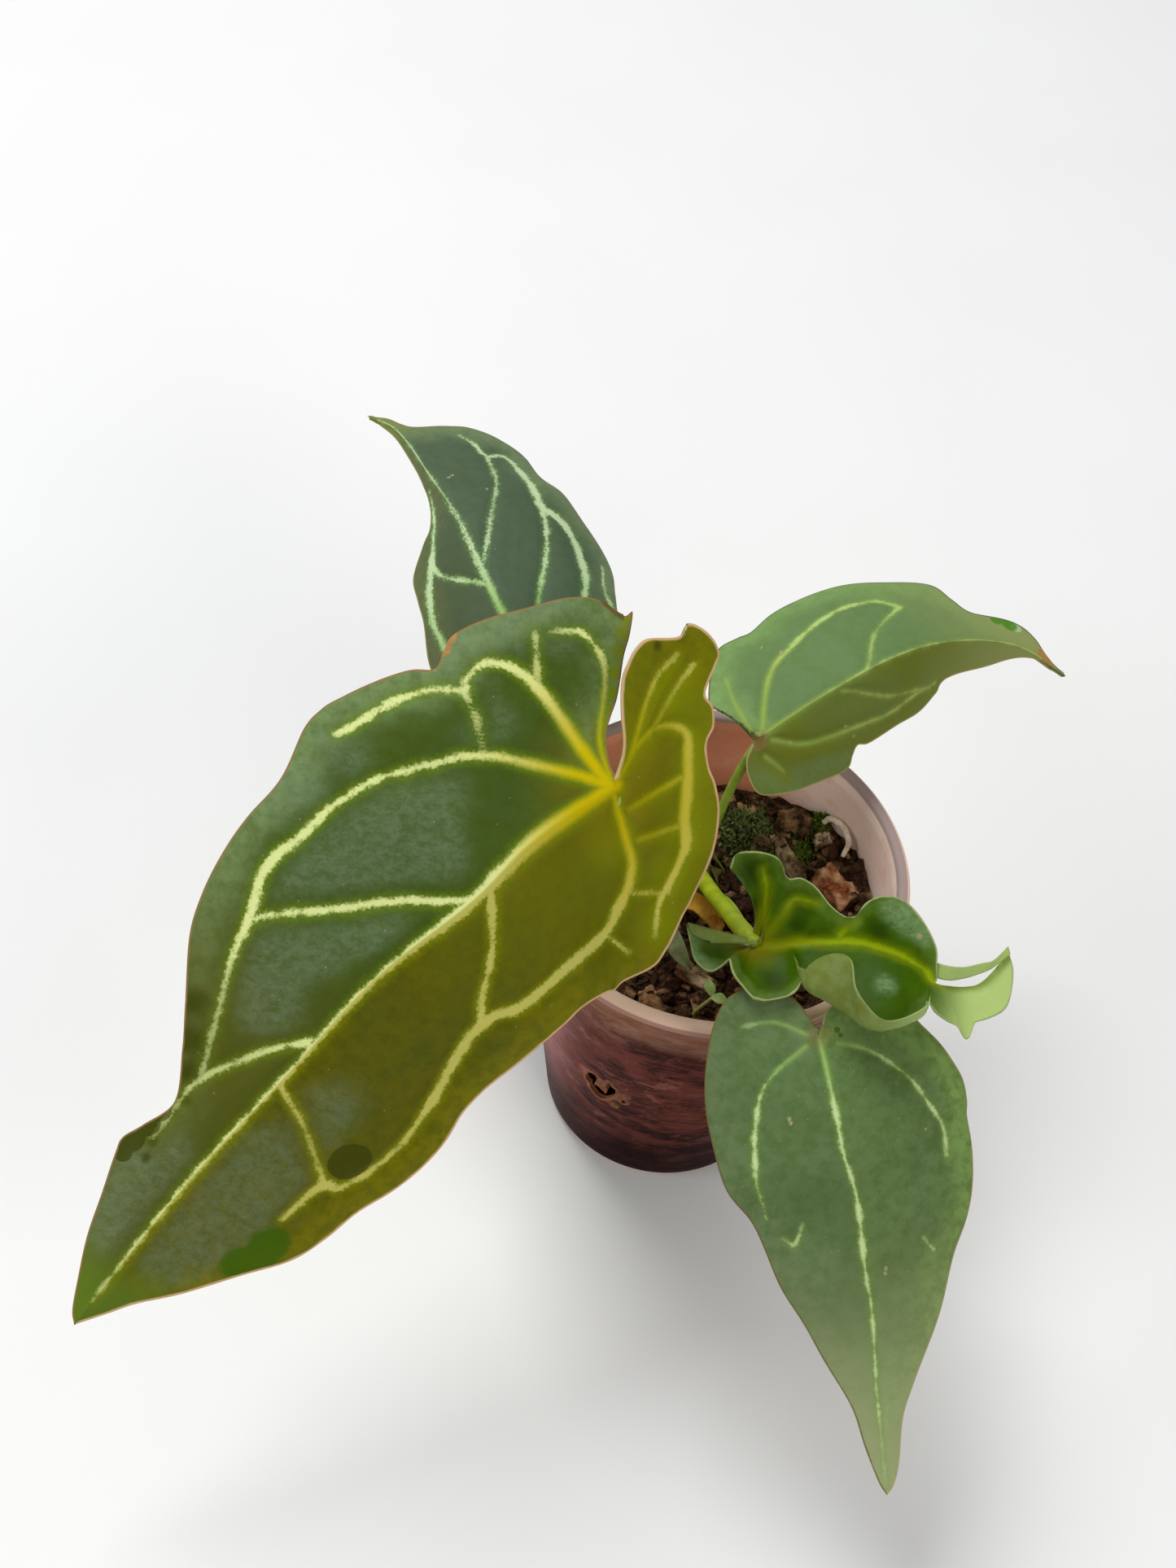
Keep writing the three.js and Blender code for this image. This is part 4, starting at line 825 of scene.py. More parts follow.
class Shader:
    """Builds a material from nodes. A value may be a number, a colour or a node's output."""

    def __init__(self, name):
        self.material = bpy.data.materials.new(name)
        self.material.use_nodes = True
        self.tree = self.material.node_tree
        self.tree.nodes.clear()
        self.output = self.tree.nodes.new("ShaderNodeOutputMaterial")
        self.place = self.tree.nodes.new("ShaderNodeTexCoord").outputs["Object"]

    def put(self, socket, value):
        if isinstance(value, bpy.types.NodeSocket):
            self.tree.links.new(value, socket)
        else:
            socket.default_value = value

    def node(self, kind, inputs, **settings):
        made = self.tree.nodes.new(kind)
        for key, value in settings.items():
            setattr(made, key, value)
        for key, value in inputs.items():
            self.put(made.inputs[key], value)
        return made

    def scaled(self, size, stretch=(1, 1, 1), shift=0.0):
        """Object coordinates with cells of that size in millimetres."""
        scale = tuple(v / (size * METRE) for v in stretch)
        inputs = {"Vector": self.place, "Scale": scale, "Location": (shift, shift, 0)}
        return self.node("ShaderNodeMapping", inputs).outputs[0]

    def noise(self, size, detail=2.0, roughness=0.5, stretch=(1, 1, 1), distortion=0.0, shift=0.0):
        """Uneven values around 0.5 with lumps of that size in millimetres."""
        inputs = {"Vector": self.scaled(size, stretch, shift), "Scale": 1.0, "Detail": detail,
                  "Roughness": roughness, "Distortion": distortion}
        return self.node("ShaderNodeTexNoise", inputs).outputs["Fac"]

    def cells(self, size):
        """Distance to the nearest of scattered points, in shares of that size in millimetres."""
        inputs = {"Vector": self.scaled(size), "Scale": 1.0}
        return self.node("ShaderNodeTexVoronoi", inputs).outputs["Distance"]

    def mark(self, name):
        return self.node("ShaderNodeAttribute", {}, attribute_name=name).outputs["Fac"]

    def maths(self, operation, a, b):
        return self.node("ShaderNodeMath", {0: a, 1: b}, operation=operation).outputs[0]

    def times(self, a, b):
        return self.maths("MULTIPLY", a, b)

    def plus(self, a, b):
        return self.maths("ADD", a, b)

    def rest(self, value):
        """1 less the value."""
        return self.maths("SUBTRACT", 1, value)

    def around(self, value, amount):
        """The value less a half, times the amount."""
        return self.times(self.maths("SUBTRACT", value, 0.5), amount)

    def step(self, value, low, high, start=0.0, end=1.0):
        """An eased step of the value from low to high."""
        inputs = {"Value": value, "From Min": low, "From Max": high, "To Min": start, "To Max": end}
        return self.node("ShaderNodeMapRange", inputs, interpolation_type="SMOOTHSTEP").outputs[0]

    def mix(self, factor, a, b):
        return self.node("ShaderNodeMix", {0: factor, 6: a, 7: b}, data_type="RGBA").outputs[2]

    def over(self, colour, tint, value, low, high, amount=1.0):
        """The colour under a tint that grows as the value goes from low to high."""
        return self.mix(self.step(value, low, high, 0, amount), colour, tint)

    def bump(self, height, depth, strength):
        """depth: millimetres between the lowest and the highest of the height."""
        inputs = {"Height": height, "Strength": strength, "Distance": depth * METRE}
        return self.node("ShaderNodeBump", inputs).outputs[0]

    def principled(self, colour, roughness, normal=None, specular=None):
        inputs = {"Base Color": colour, "Roughness": roughness}
        if normal is not None:
            inputs["Normal"] = normal
        if specular is not None:
            inputs["Specular IOR Level"] = specular
        return self.node("ShaderNodeBsdfPrincipled", inputs).outputs[0]

    def thin(self, skin, colour, normal, amount):
        """A skin that lets a share of the light through in that colour."""
        other = self.node("ShaderNodeBsdfTranslucent", {"Color": colour, "Normal": normal}).outputs[0]
        return self.blend(amount, skin, other)

    def blend(self, amount, skin, other):
        return self.node("ShaderNodeMixShader", {0: amount, 1: skin, 2: other}).outputs[0]

    def finish(self, surface):
        self.tree.links.new(surface, self.output.inputs["Surface"])
        return self.material


# What a leaf's look is where its own list says nothing else. Reaches are millimetres from the stalk,
# except tip_reach and under_reach, which are shares of the midrib. Amounts are shares of a tint.
# The sheen tint is painted reflected light, and the olive, near and joint tints are a painted glow of light
# let through the blade.
LEAF_LOOK = {
    "cloud_amount": 0.5, "band": 6, "mottle_amount": 0.3, "low_amount": 0, "near_amount": 0,
    "olive": (88, 92, 38), "bloom_everywhere": 0, "bloom_amount": 0.6, "dark": (42, 64, 22),
    "tip_reach": (0.86, 0.96),
    "joint_reach": (15, 1), "joint_amount": 0, "speck_size": 3, "speck_amount": 0.4, "gold_reach": 5,
    "pale_reach": 24, "jag": 1.5, "fringe": 1.9, "fringe_amount": 0.8, "core_amount": 1, "foot_amount": 0,
    "wet": (44, 56, 6), "vivid": (62, 108, 12), "under_reach": (0.2, 0.9), "gloss": 0.1, "through": 0.15,
}


def leaf_material(name, **look):
    """A leaf with pale jagged veins, a band and a thin line along its margin, and patches, some of which are
    painted light: painted sheen and a painted glow of light let through the blade.
    A margin in the look is (width, red, green, blue)."""
    look = {"lime_right": look["lime"], "under_tip": look["under"], **LEAF_LOOK, **look}
    for key, value in look.items():
        if isinstance(value, tuple) and len(value) == 3:
            look[key] = rgb(*value)
    s = Shader(name)
    side = s.step(s.mark("half"), 0.4, 0.6)
    vein, strength, rim, reach, along = (s.mark(key) for key in ("vein", "strength", "rim", "reach", "along"))
    grain = s.noise(0.35, 3, 0.7)
    mottle = s.noise(1.8, 4, 0.65)
    cloud = s.noise(12, 3)

    def patch(kind, soft, ragged, size=2.4):
        return s.step(s.plus(s.mark(kind), s.around(s.noise(size, 3, 0.6), ragged)), 0.0, soft)

    # Each half has its own colour. On the velvet and the mid-green leaf, the halves differ by painted light,
    # as their looks below say.
    colour = s.mix(side, look["right"], look["left"])
    colour = s.over(colour, look["cloud"], cloud, 0.35, 0.7, look["cloud_amount"])
    band = s.mix(side, look["band_right"], look["band_left"])
    colour = s.over(colour, band, s.plus(rim, s.around(cloud, 7)), look["band"], 1.0, 0.7)
    colour = s.over(colour, look["mottle"], mottle, 0.35, 0.7, look["mottle_amount"])
    low = s.times(s.step(along, 0.36, 0.6, 0, look["low_amount"]), s.rest(side))
    colour = s.mix(low, colour, rgb(88, 88, 22))
    # Painted light: a yellow glow of light let through the left half, strongest within about 14 mm of the
    # stalk.
    near = s.times(s.step(reach, 44, 14, 0, look["near_amount"]), side)
    colour = s.mix(near, colour, rgb(128, 130, 0))
    # Olive patches are painted light: a glow of light let through the blade.
    colour = s.mix(s.times(patch("olive", 0.9, 0.3, 5), 0.85), colour, look["olive"])

    # Painted sheen: pale bluish streaky patches that stand for light reflected by the velvet, weaker on and
    # near the veins.
    streaks = s.step(s.noise(1.5, 6, 0.85, stretch=(1, 1.6, 1)), 0.36, 0.64, 0.3, 1.1)
    painted_sheen_mask = s.times(s.plus(patch("bloom", 1.0, 0.5, 7), look["bloom_everywhere"]), streaks)
    painted_sheen_mask = s.times(painted_sheen_mask, s.step(vein, 0.2, 3.2, 0.1, look["bloom_amount"]))
    colour = s.mix(painted_sheen_mask, colour, look["bloom"])
    colour = s.mix(s.times(patch("dark", 0.9, 0.6), 0.8), colour, look["dark"])
    colour = s.over(colour, look["tip"], along, *look["tip_reach"])
    # Painted light: a golden glow of light let through the blade round the joint.
    colour = s.over(colour, rgb(128, 116, 10), reach, *look["joint_reach"], look["joint_amount"])
    specks = s.cells(look["speck_size"])
    colour = s.over(colour, rgb(172, 184, 142), specks, 0.055, 0.025, look["speck_amount"])

    far = s.step(reach, look["gold_reach"], look["pale_reach"])
    uneven = s.plus(s.around(s.noise(0.45, 4, 0.75), look["jag"]), s.around(s.noise(2.6, 2), 1.1))
    ragged = s.plus(vein, s.times(uneven, s.step(far, 0, 1, 0.3, 1)))
    fringe = s.maths("POWER", s.step(ragged, look["fringe"], -0.3), 1.6)
    fringe = s.times(fringe, s.times(strength, look["fringe_amount"]))
    colour = s.mix(fringe, colour, s.mix(side, look["lime_right"], look["lime"]))
    pale = s.mix(far, look["gold"], s.mix(side, look["pale_right"], look["pale_left"]))
    core_edge, core_full = s.step(far, 0, 1, 0.35, 0.18), s.step(far, 0, 1, -0.95, -0.4)
    core = s.step(ragged, core_edge, core_full, 0, look["core_amount"])
    colour = s.mix(s.times(core, strength), colour, pale)
    colour = s.over(colour, rgb(140, 112, 62), reach, 2.4, 0.8, look["foot_amount"])

    wet = s.times(patch("wet", 0.08, 0.12), 0.75)
    vivid = s.times(patch("vivid", 0.35, 0.35), 0.85)
    colour = s.mix(wet, colour, look["wet"])
    colour = s.mix(vivid, colour, look["vivid"])
    # A margin line along each half. On the velvet leaf, the pale tan line of the left half is the edge's own
    # colour with a painted highlight on it.
    margin = s.plus(rim, s.around(s.noise(2, 2), 0.25))
    for key, here in (("margin_left", side), ("margin_right", s.rest(side))):
        width, *tint = look[key]
        colour = s.mix(s.times(s.step(margin, width, width * 0.4), here), colour, rgb(*tint))
    colour = s.over(colour, rgb(176, 166, 120), s.mark("spots"), 0.0, 0.5, 0.8)
    colour = s.mix(patch("scorch", 0.3, 0.3), colour, s.mix(grain, rgb(116, 78, 36), rgb(210, 164, 104)))
    colour = s.over(colour, s.mix(0.75, rgb(20, 30, 10), colour), grain, 0.25, 0.75, 0.22)

    below = s.over(look["under"], look["under_tip"], along, *look["under_reach"])
    below = s.over(below, s.mix(0.5, below, rgb(176, 190, 140)), mottle, 0.35, 0.7, 0.35)
    below = s.mix(s.times(s.step(vein, 0.4, -0.2, 0, 0.5), strength), below, rgb(176, 192, 118))
    colour = s.mix(s.mark("under"), colour, below)

    roughness = s.step(s.noise(6, 2), 0.3, 0.7, look["rough"] - 0.06, look["rough"] + 0.08)
    roughness = s.maths("SUBTRACT", roughness, s.times(s.plus(wet, vivid), 0.12))
    normal = s.bump(s.plus(s.times(grain, 0.6), s.noise(1.2, 2)), 0.08, 0.5)
    skin = s.principled(colour, roughness, normal, look["gloss"])
    return s.finish(s.thin(skin, s.mix(0.5, colour, look["lime"]), normal, look["through"]))


def plain_leafy(name, colour, second, rough=0.5, size=3.0, bump=0.06, through=0.12):
    """Stalks, sheaths and small leaves: two tones in uneven blotches."""
    s = Shader(name)
    tone = s.over(rgb(*colour), rgb(*second), s.noise(size, 3, 0.6), 0.35, 0.7)
    normal = s.bump(s.noise(size / 6, 2), bump, 0.5)
    return s.finish(s.thin(s.principled(tone, rough, normal), tone, normal, through))


def bark_material(name, dark, middle, light, rough=0.85):
    """Grooved fibrous bark. The tone mark differs from chip to chip."""
    s = Shader(name)
    fibres = s.noise(0.9, 6, 0.75, distortion=0.8)
    colour = s.over(rgb(*dark), rgb(*middle), fibres, 0.38, 0.6)
    colour = s.over(colour, rgb(*light), s.plus(s.noise(2.4, 3), s.mark("tone")), 0.5, 1.0)
    height = s.plus(fibres, s.times(s.noise(0.35, 3, 0.7), 0.5))
    return s.finish(s.principled(colour, rough, s.bump(height, 0.6, 0.9), 0.2))


def pot_material():
    """Thin smoky translucent plastic: mauve where it is empty, reddish brown where damp mix lies against it,
    with painted shade that makes it near black towards the foot.
    Heights are shares of the pot's height."""
    s = Shader("pot_plastic")
    x, y, z = s.node("ShaderNodeSeparateXYZ", {0: s.place}).outputs
    up = s.maths("DIVIDE", z, POT_HEIGHT * METRE)
    smear = s.noise(9, 6, 0.7, stretch=(1, 1, 2.4), distortion=0.5)
    streak = s.noise(2.6, 6, 0.75, stretch=(1, 1, 2.6), distortion=0.3, shift=3)
    patches = s.noise(6, 5, 0.66, stretch=(1, 1, 1.6), distortion=0.3, shift=9)
    flecks = s.noise(1.2, 4, 0.7, stretch=(1, 1, 2.4), shift=5)

    def layered(colour, layers):
        for tint, *reach in layers:
            colour = s.over(colour, rgb(*tint), *reach)
        return colour

    empty = layered(rgb(146, 96, 70), (
        ((166, 124, 106), smear, 0.35, 0.65),
        ((140, 84, 52), streak, 0.48, 0.68, 0.6)))
    filled = layered(rgb(48, 22, 18), (
        ((104, 52, 44), smear, 0.42, 0.58),
        ((120, 62, 50), streak, 0.46, 0.62, 0.6),
        ((148, 90, 80), patches, 0.54, 0.68, 0.75),
        ((176, 120, 96), flecks, 0.62, 0.72, 0.7)))
    mauve = s.mix(streak, rgb(132, 76, 72), rgb(196, 138, 138))
    filled = s.over(filled, mauve, s.plus(x, s.around(smear, 0.02)), -0.013, -0.022, 0.85)
    # Painted shade: towards the foot, the wall goes near black.
    filled = s.over(filled, rgb(24, 5, 7), s.plus(up, s.around(smear, 0.3)), 0.42, 0.1, 0.85)
    level = s.plus(up, s.around(smear, 0.2))
    outside = s.over(filled, empty, level, 0.74, 0.9)
    inner = layered(rgb(236, 154, 119), (
        ((255, 229, 215), x, 0.004, 0.016),
        ((236, 181, 149), patches, 0.5, 0.7, 0.5),
        ((255, 236, 214), flecks, 0.64, 0.72, 0.5),
        ((172, 105, 71), up, 0.86, 0.76, 0.5)))

    inside = s.mark("inside")
    radius = s.maths("SQRT", s.plus(s.times(x, x), s.times(y, y)), 0)
    outermost = s.step(radius, (RIM_RADIUS - 0.6) * METRE, (RIM_RADIUS - 0.35) * METRE)
    front = s.maths("MAXIMUM", outermost, s.step(y, -0.008, -0.02))
    top = s.step(up, 0.984, 0.992)
    line = s.times(s.step(up, 0.956, 0.961), s.step(up, 0.97, 0.965))
    colour = s.mix(inside, outside, inner)
    for place, tint in (
            (s.times(s.step(up, 0.958, 0.964), s.rest(inside)), rgb(176, 134, 120)),
            (s.times(top, s.rest(front)), rgb(164, 144, 138)),
            (s.times(top, front), rgb(236, 200, 174)),
            (s.times(line, s.rest(inside)), rgb(214, 176, 158)),
            (s.step(s.mark("melt"), 0.8, 0.2, 0, 0.7), rgb(158, 104, 76))):
        colour = s.mix(place, colour, tint)
    normal = s.bump(s.plus(smear, s.times(streak, 0.5)), 0.3, 0.35)
    skin = s.principled(colour, s.step(streak, 0.3, 0.8, 0.26, 0.44), normal, 0.01)
    clear = s.node("ShaderNodeBsdfTransparent", {"Color": s.mix(0.4, colour, rgb(240, 215, 212))}).outputs[0]
    amount = s.times(s.step(level, 0.7, 0.86, 0.06, 0.3), s.step(up, 0.955, 0.97, 1, 0.4))
    return s.finish(s.blend(amount, skin, clear))


# Velvet leaf: the olive of its left half (left, band_left), its olive patches and the near and joint tints
# are painted light, a glow of light let through from behind. The sheen tint is painted reflected light. The
# pale tan left margin is the edge's own colour with a painted highlight on it.
leaf_velvet = leaf_material(
    "leaf_velvet", left=(104, 99, 0), right=(68, 88, 30), cloud=(76, 94, 22), cloud_amount=0.45,
    band_left=(134, 128, 0), band_right=(132, 156, 100), band=7, mottle=(64, 76, 4), mottle_amount=0.45,
    low_amount=0.75, near_amount=0.42, olive=(128, 134, 0), bloom=(126, 146, 116), bloom_everywhere=0.06,
    bloom_amount=0.38, gold=(206, 186, 0), lime=(140, 148, 0), lime_right=(110, 136, 14), fringe=1.5,
    fringe_amount=0.7, pale_left=(208, 202, 100), pale_right=(224, 232, 152), tip=(98, 122, 34),
    joint_amount=0.6, margin_left=(0.5, 224, 184, 134), margin_right=(0.3, 152, 114, 72),
    under=(120, 140, 60), rough=0.46, gloss=0.05, dark=(58, 62, 2), wet=(60, 64, 0), vivid=(62, 102, 0))
# The sheen tint here is painted reflected light.
leaf_grey = leaf_material(
    "leaf_grey_green", left=(98, 122, 68), right=(92, 114, 68), cloud=(108, 130, 86), mottle=(74, 100, 46),
    mottle_amount=0.6, band_left=(134, 164, 84), band_right=(108, 124, 84), bloom=(104, 140, 110),
    gold=(178, 204, 128), lime=(112, 148, 56), jag=0.9, gold_reach=2, pale_reach=12, fringe=0.9,
    pale_left=(198, 216, 152), pale_right=(198, 216, 152), tip=(156, 164, 116), tip_reach=(0.35, 1.1),
    margin_left=(0.25, 172, 160, 110), margin_right=(0.3, 116, 100, 52), foot_amount=0.35,
    under=(130, 150, 90), rough=0.6, speck_size=1.5, speck_amount=0.8, wet=(54, 92, 22))
# The sheen tint here is painted reflected light.
leaf_back = leaf_material(
    "leaf_back_grey", left=(82, 94, 64), right=(80, 98, 72), cloud=(88, 106, 80), mottle=(66, 84, 54),
    band_left=(108, 114, 70), band_right=(124, 142, 98), bloom=(96, 112, 96), gold=(134, 186, 40),
    lime=(106, 142, 72), jag=2.0, fringe=0.9, pale_left=(196, 216, 164), pale_right=(196, 216, 168),
    tip=(128, 136, 60), tip_reach=(0.82, 0.96), pale_reach=30, margin_left=(0.3, 140, 136, 72),
    margin_right=(0.3, 134, 124, 88), under=(132, 148, 60), rough=0.55)
# Mid-green leaf: its paler bluish left half (left, band_left) and its olive right half (right, band_right)
# are painted light and painted shade, for a half that faces the light and a half that hangs away from it with
# light let through. The sheen tint is painted reflected light.
leaf_mid = leaf_material(
    "leaf_mid_green", left=(106, 134, 82), right=(108, 116, 20), cloud=(108, 134, 78), cloud_amount=0.35,
    mottle=(94, 118, 56), band_left=(134, 168, 96), band_right=(116, 122, 36), bloom=(112, 136, 80),
    bloom_amount=0.8, gold=(170, 190, 80), lime=(136, 162, 72), fringe=1.0, jag=0.9,
    pale_left=(182, 206, 124), pale_right=(180, 180, 92), tip=(146, 154, 92), tip_reach=(0.45, 0.95),
    margin_left=(0.3, 96, 92, 46), margin_right=(0.3, 176, 160, 100), foot_amount=0.9, wet=(178, 204, 150),
    vivid=(72, 132, 14), under=(130, 150, 80), rough=0.55)
# Newest leaf: the sheen tint is painted reflected light, and the joint tint is a painted glow of light let
# through the blade.
leaf_new = leaf_material(
    "leaf_new", left=(62, 96, 0), right=(58, 90, 0), cloud=(84, 116, 6), cloud_amount=0.4, mottle=(50, 78, 0),
    mottle_amount=0.35, band_left=(98, 124, 40), band_right=(104, 128, 54), band=2.4, bloom=(130, 160, 108),
    bloom_amount=0.8, dark=(38, 58, 0), gold=(150, 140, 0), lime=(128, 146, 0), fringe=1.6,
    fringe_amount=0.7, jag=0.4, gold_reach=2, pale_reach=12, pale_left=(158, 178, 14),
    pale_right=(158, 178, 14), core_amount=0.7, tip=(182, 204, 122), tip_reach=(0.58, 1), joint_amount=0.9,
    joint_reach=(6, 0.5), margin_left=(0.24, 166, 178, 120), margin_right=(0.24, 166, 178, 120),
    under=(114, 128, 52), under_tip=(196, 222, 140), under_reach=(0, 0.95), rough=0.42, gloss=0.06,
    speck_amount=0.0, through=0.22)
stalk = plain_leafy("stalk", (158, 186, 64), (132, 160, 56), 0.45)
stalk_new = plain_leafy("stalk_new", (176, 192, 30), (148, 168, 20), 0.42, through=0.2)
sheath_material = plain_leafy("withered_sheath", (200, 150, 30), (140, 90, 20), 0.6, 1.6)
juvenile_material = plain_leafy("juvenile", (130, 150, 100), (110, 105, 70), 0.6, 2.0)
sprout_material = plain_leafy("sprout", (150, 180, 90), (168, 172, 110), 0.6, 2.0)
root_material = plain_leafy("root", (252, 238, 218), (216, 190, 160), 0.7, 1.5, 0.12)
crown_material = plain_leafy("crown", (120, 120, 50), (95, 70, 40), 0.75, 2.5, 0.3)
moss_dark = plain_leafy("moss_dark", (124, 134, 62), (50, 58, 26), 0.8, 0.8, 0.1, 0.2)
moss_bright = plain_leafy("moss_bright", (128, 150, 40), (84, 108, 28), 0.7, 1.2, 0.1, 0.3)
bark = bark_material("bark", (40, 24, 14), (106, 72, 42), (170, 130, 90))
bark_reddish = bark_material("bark_reddish", (92, 42, 20), (166, 94, 54), (220, 168, 120))
bark_pale = bark_material("bark_pale", (70, 50, 32), (150, 118, 82), (215, 190, 150))
mix_material = bark_material("potting_mix", (12, 5, 0), (82, 50, 25), (186, 142, 96), 0.75)

# The blades.

QUICK_FACTOR = 1


def spaced(value):
    """Row spacing for a final mesh, wider in a quick trial."""
    return value * QUICK_FACTOR


make_blade("leaf_front_left", FRONT_LEFT, leaf_velvet, "leaf_velvet", spaced(0.45), 64, 3, 0.42)
make_blade("leaf_back_left", BACK_LEFT, leaf_back, "leaf_grey_green", spaced(0.35), 52, 5, 0.3)
make_blade("leaf_back_right", BACK_RIGHT, leaf_mid, "leaf_mid_green", spaced(0.35), 48, 7, 0.26)
make_blade("leaf_front", FRONT, leaf_grey, "leaf_grey_green", spaced(0.35), 50, 11, 0.26)


def newest_half(rows, columns, spacing):
    """Points of one half of the newest leaf, by rows from the midrib to the edge, and its edge."""
    spans = 12
    midrib = smooth(NEWEST_MIDRIB, spans)
    last = len(NEWEST_MIDRIB) - 1
    table = []
    for row in rows:
        start = pick(midrib, row[0] * spans)
        through = row[2] if len(row) > 2 else (start + np.array(row[1])) / 2
        table.append((row[0], *row[1], *through))
    table = smooth(table, spans)
    station = np.maximum.accumulate(np.maximum(table[:, 0], 0))
    lobe_end = int(np.argmax(station > 0.02)) - 1
    lengths = run_lengths(table[:, 1:4])
    lobe = np.interp(np.arange(0, lengths[lobe_end], spacing), lengths, np.arange(len(table)))
    stations = np.linspace(0, last, 151)
    tail = np.arange(lobe_end, len(table))
    places = np.interp(stations, station[tail] + np.arange(len(tail)) * 1e-7, tail)
    base = np.concatenate([np.zeros(len(lobe)), stations])
    start = pick(midrib, base * spans)
    values = pick(table, np.concatenate([lobe, places]))
    end, through = values[:, 1:4], values[:, 4:7]
    past = (base > rows[-1][0] - 1e-6) | (np.linalg.norm(start - end, axis=1) < 0.15)
    pull = 2 * through - 0.5 * start - 0.5 * end
    end = np.where(past[:, None], start, end)
    pull = np.where(past[:, None], start, pull)
    t = np.linspace(0, 1, columns + 1)[None, :, None]
    points = start[:, None] * (1 - t) ** 2 + pull[:, None] * 2 * t * (1 - t) + end[:, None] * t * t
    return points, end


def make_newest():
    """The newest leaf is still unfolding, so its halves are given in space. Its tip is a folded strip."""
    widths = (0.7, 0.8, 0.8, 0.8, 0.7, 0.7, 0.6, 0.5, 0.4, 0.4, 0.3, 0.2)
    veins = [
        [(*place, width) for place, width in zip(NEWEST_MIDRIB, widths)],
        [(7, -18.6, 73, 0.6), (7, -16.5, 77, 0.6), (6.6, -15, 80, 0.6), (5.5, -14, 82.5, 0.5)],
        [(7.5, -18.8, 73, 0.6), (9.5, -16.5, 76, 0.5), (10.8, -15, 78.2, 0.5), (14, -15, 78.4, 0.4)],
        [(17.5, -19, 75.7, 0.4), (18.3, -17.8, 77, 0.35), (19.5, -16.8, 78.5, 0.3)],
    ]
    # The sheen patches are painted sheen, pale bluish colour that stands for reflected light.
    patches = {"bloom": NEWEST_PAINTED_SHEEN, "dark": NEWEST_DARK}
    sheet = Sheet()
    for rows, half, columns in ((NEWEST_LEFT, 1.0, 22), (NEWEST_RIGHT, 0.0, 30)):
        points, edge = newest_half(rows, columns, spaced(0.35))
        flat = points.reshape(-1, 3)
        marks = leaf_marks(flat, veins, 0.3, edge[::4], patches, [(28.5, -18.5, 79.6, 0.8)])
        marks["reach"] = np.linalg.norm(flat - np.array(NEWEST_MIDRIB[0]), axis=1)
        marks["along"] = np.clip((flat[:, 0] - 20) / 18, 0, 1)
        marks["half"] = np.full(len(flat), half)
        uneven = 0.12 * waves(flat, 5, 17) * np.clip(marks["rim"] / 2, 0, 1)
        marks["rise"] = uneven - 0.2 * bell(marks["vein"], 0.8) - 0.1
        marks = {key: values.reshape(points.shape[:2]) for key, values in marks.items()}
        sheet.add(points, marks, flip=half == 0)
    blade, faces, marks = sheet.close(lambda m: 0.28 + 0.2 * bell(m["vein"], 0.8))
    points, faces = joined([(blade, faces), ribbon(STRIP_A, STRIP_B, 10, 8, thickness=0.3)])
    on_strip = {"vein": 5.0, "rim": 5.0, "reach": 34.0, "half": 1.0, "along": 0.88}
    on_strip.update({kind: OUTSIDE for kind in ("spots", *PATCHES)})
    count = len(points) - len(blade)
    marks = {key: np.append(values, np.full(count, on_strip.get(key, 0.0))) for key, values in marks.items()}
    make_object("leaf_newest", points, faces, leaf_new, ["blade_newest"], "leaf_new", marks)


make_newest()

# Stalks: a wider sheathed foot, an even middle and a small swelling under the blade.

STALK_WIDTHS = (1.35, 1.2, 1.05, 1, 0.97, 0.95, 0.95, 1, 1.04, 1.02, 0.9)
BLADES = {"front_left": FRONT_LEFT, "back_left": BACK_LEFT, "back_right": BACK_RIGHT, "front": FRONT}
# A stalk stays this far below its blade's upper face, within this reach of the joint.
UNDER_BLADE = 0.85
JOINT_REACH = 4
for key, (path, radius) in PETIOLES.items():
    points, faces = tube(path, [width * radius for width in STALK_WIDTHS], 24, 14)
    look, slot = (stalk, "stalk") if key in BLADES else (stalk_new, "stalk_new")
    if key in BLADES:
        joint, normal = np.array(BLADES[key]["spine"][1]), unit(np.array(BLADES[key]["up"]))
        above = np.maximum((points - joint) @ normal + UNDER_BLADE, 0)
        near = np.linalg.norm(points - joint, axis=1) < JOINT_REACH
        points = points - (above * near)[:, None] * normal
    make_object("stalk_" + key, points, faces, look, ["petiole_" + key], slot)

# The crown: a lumpy stem foot wrapped in dry pointed scales.


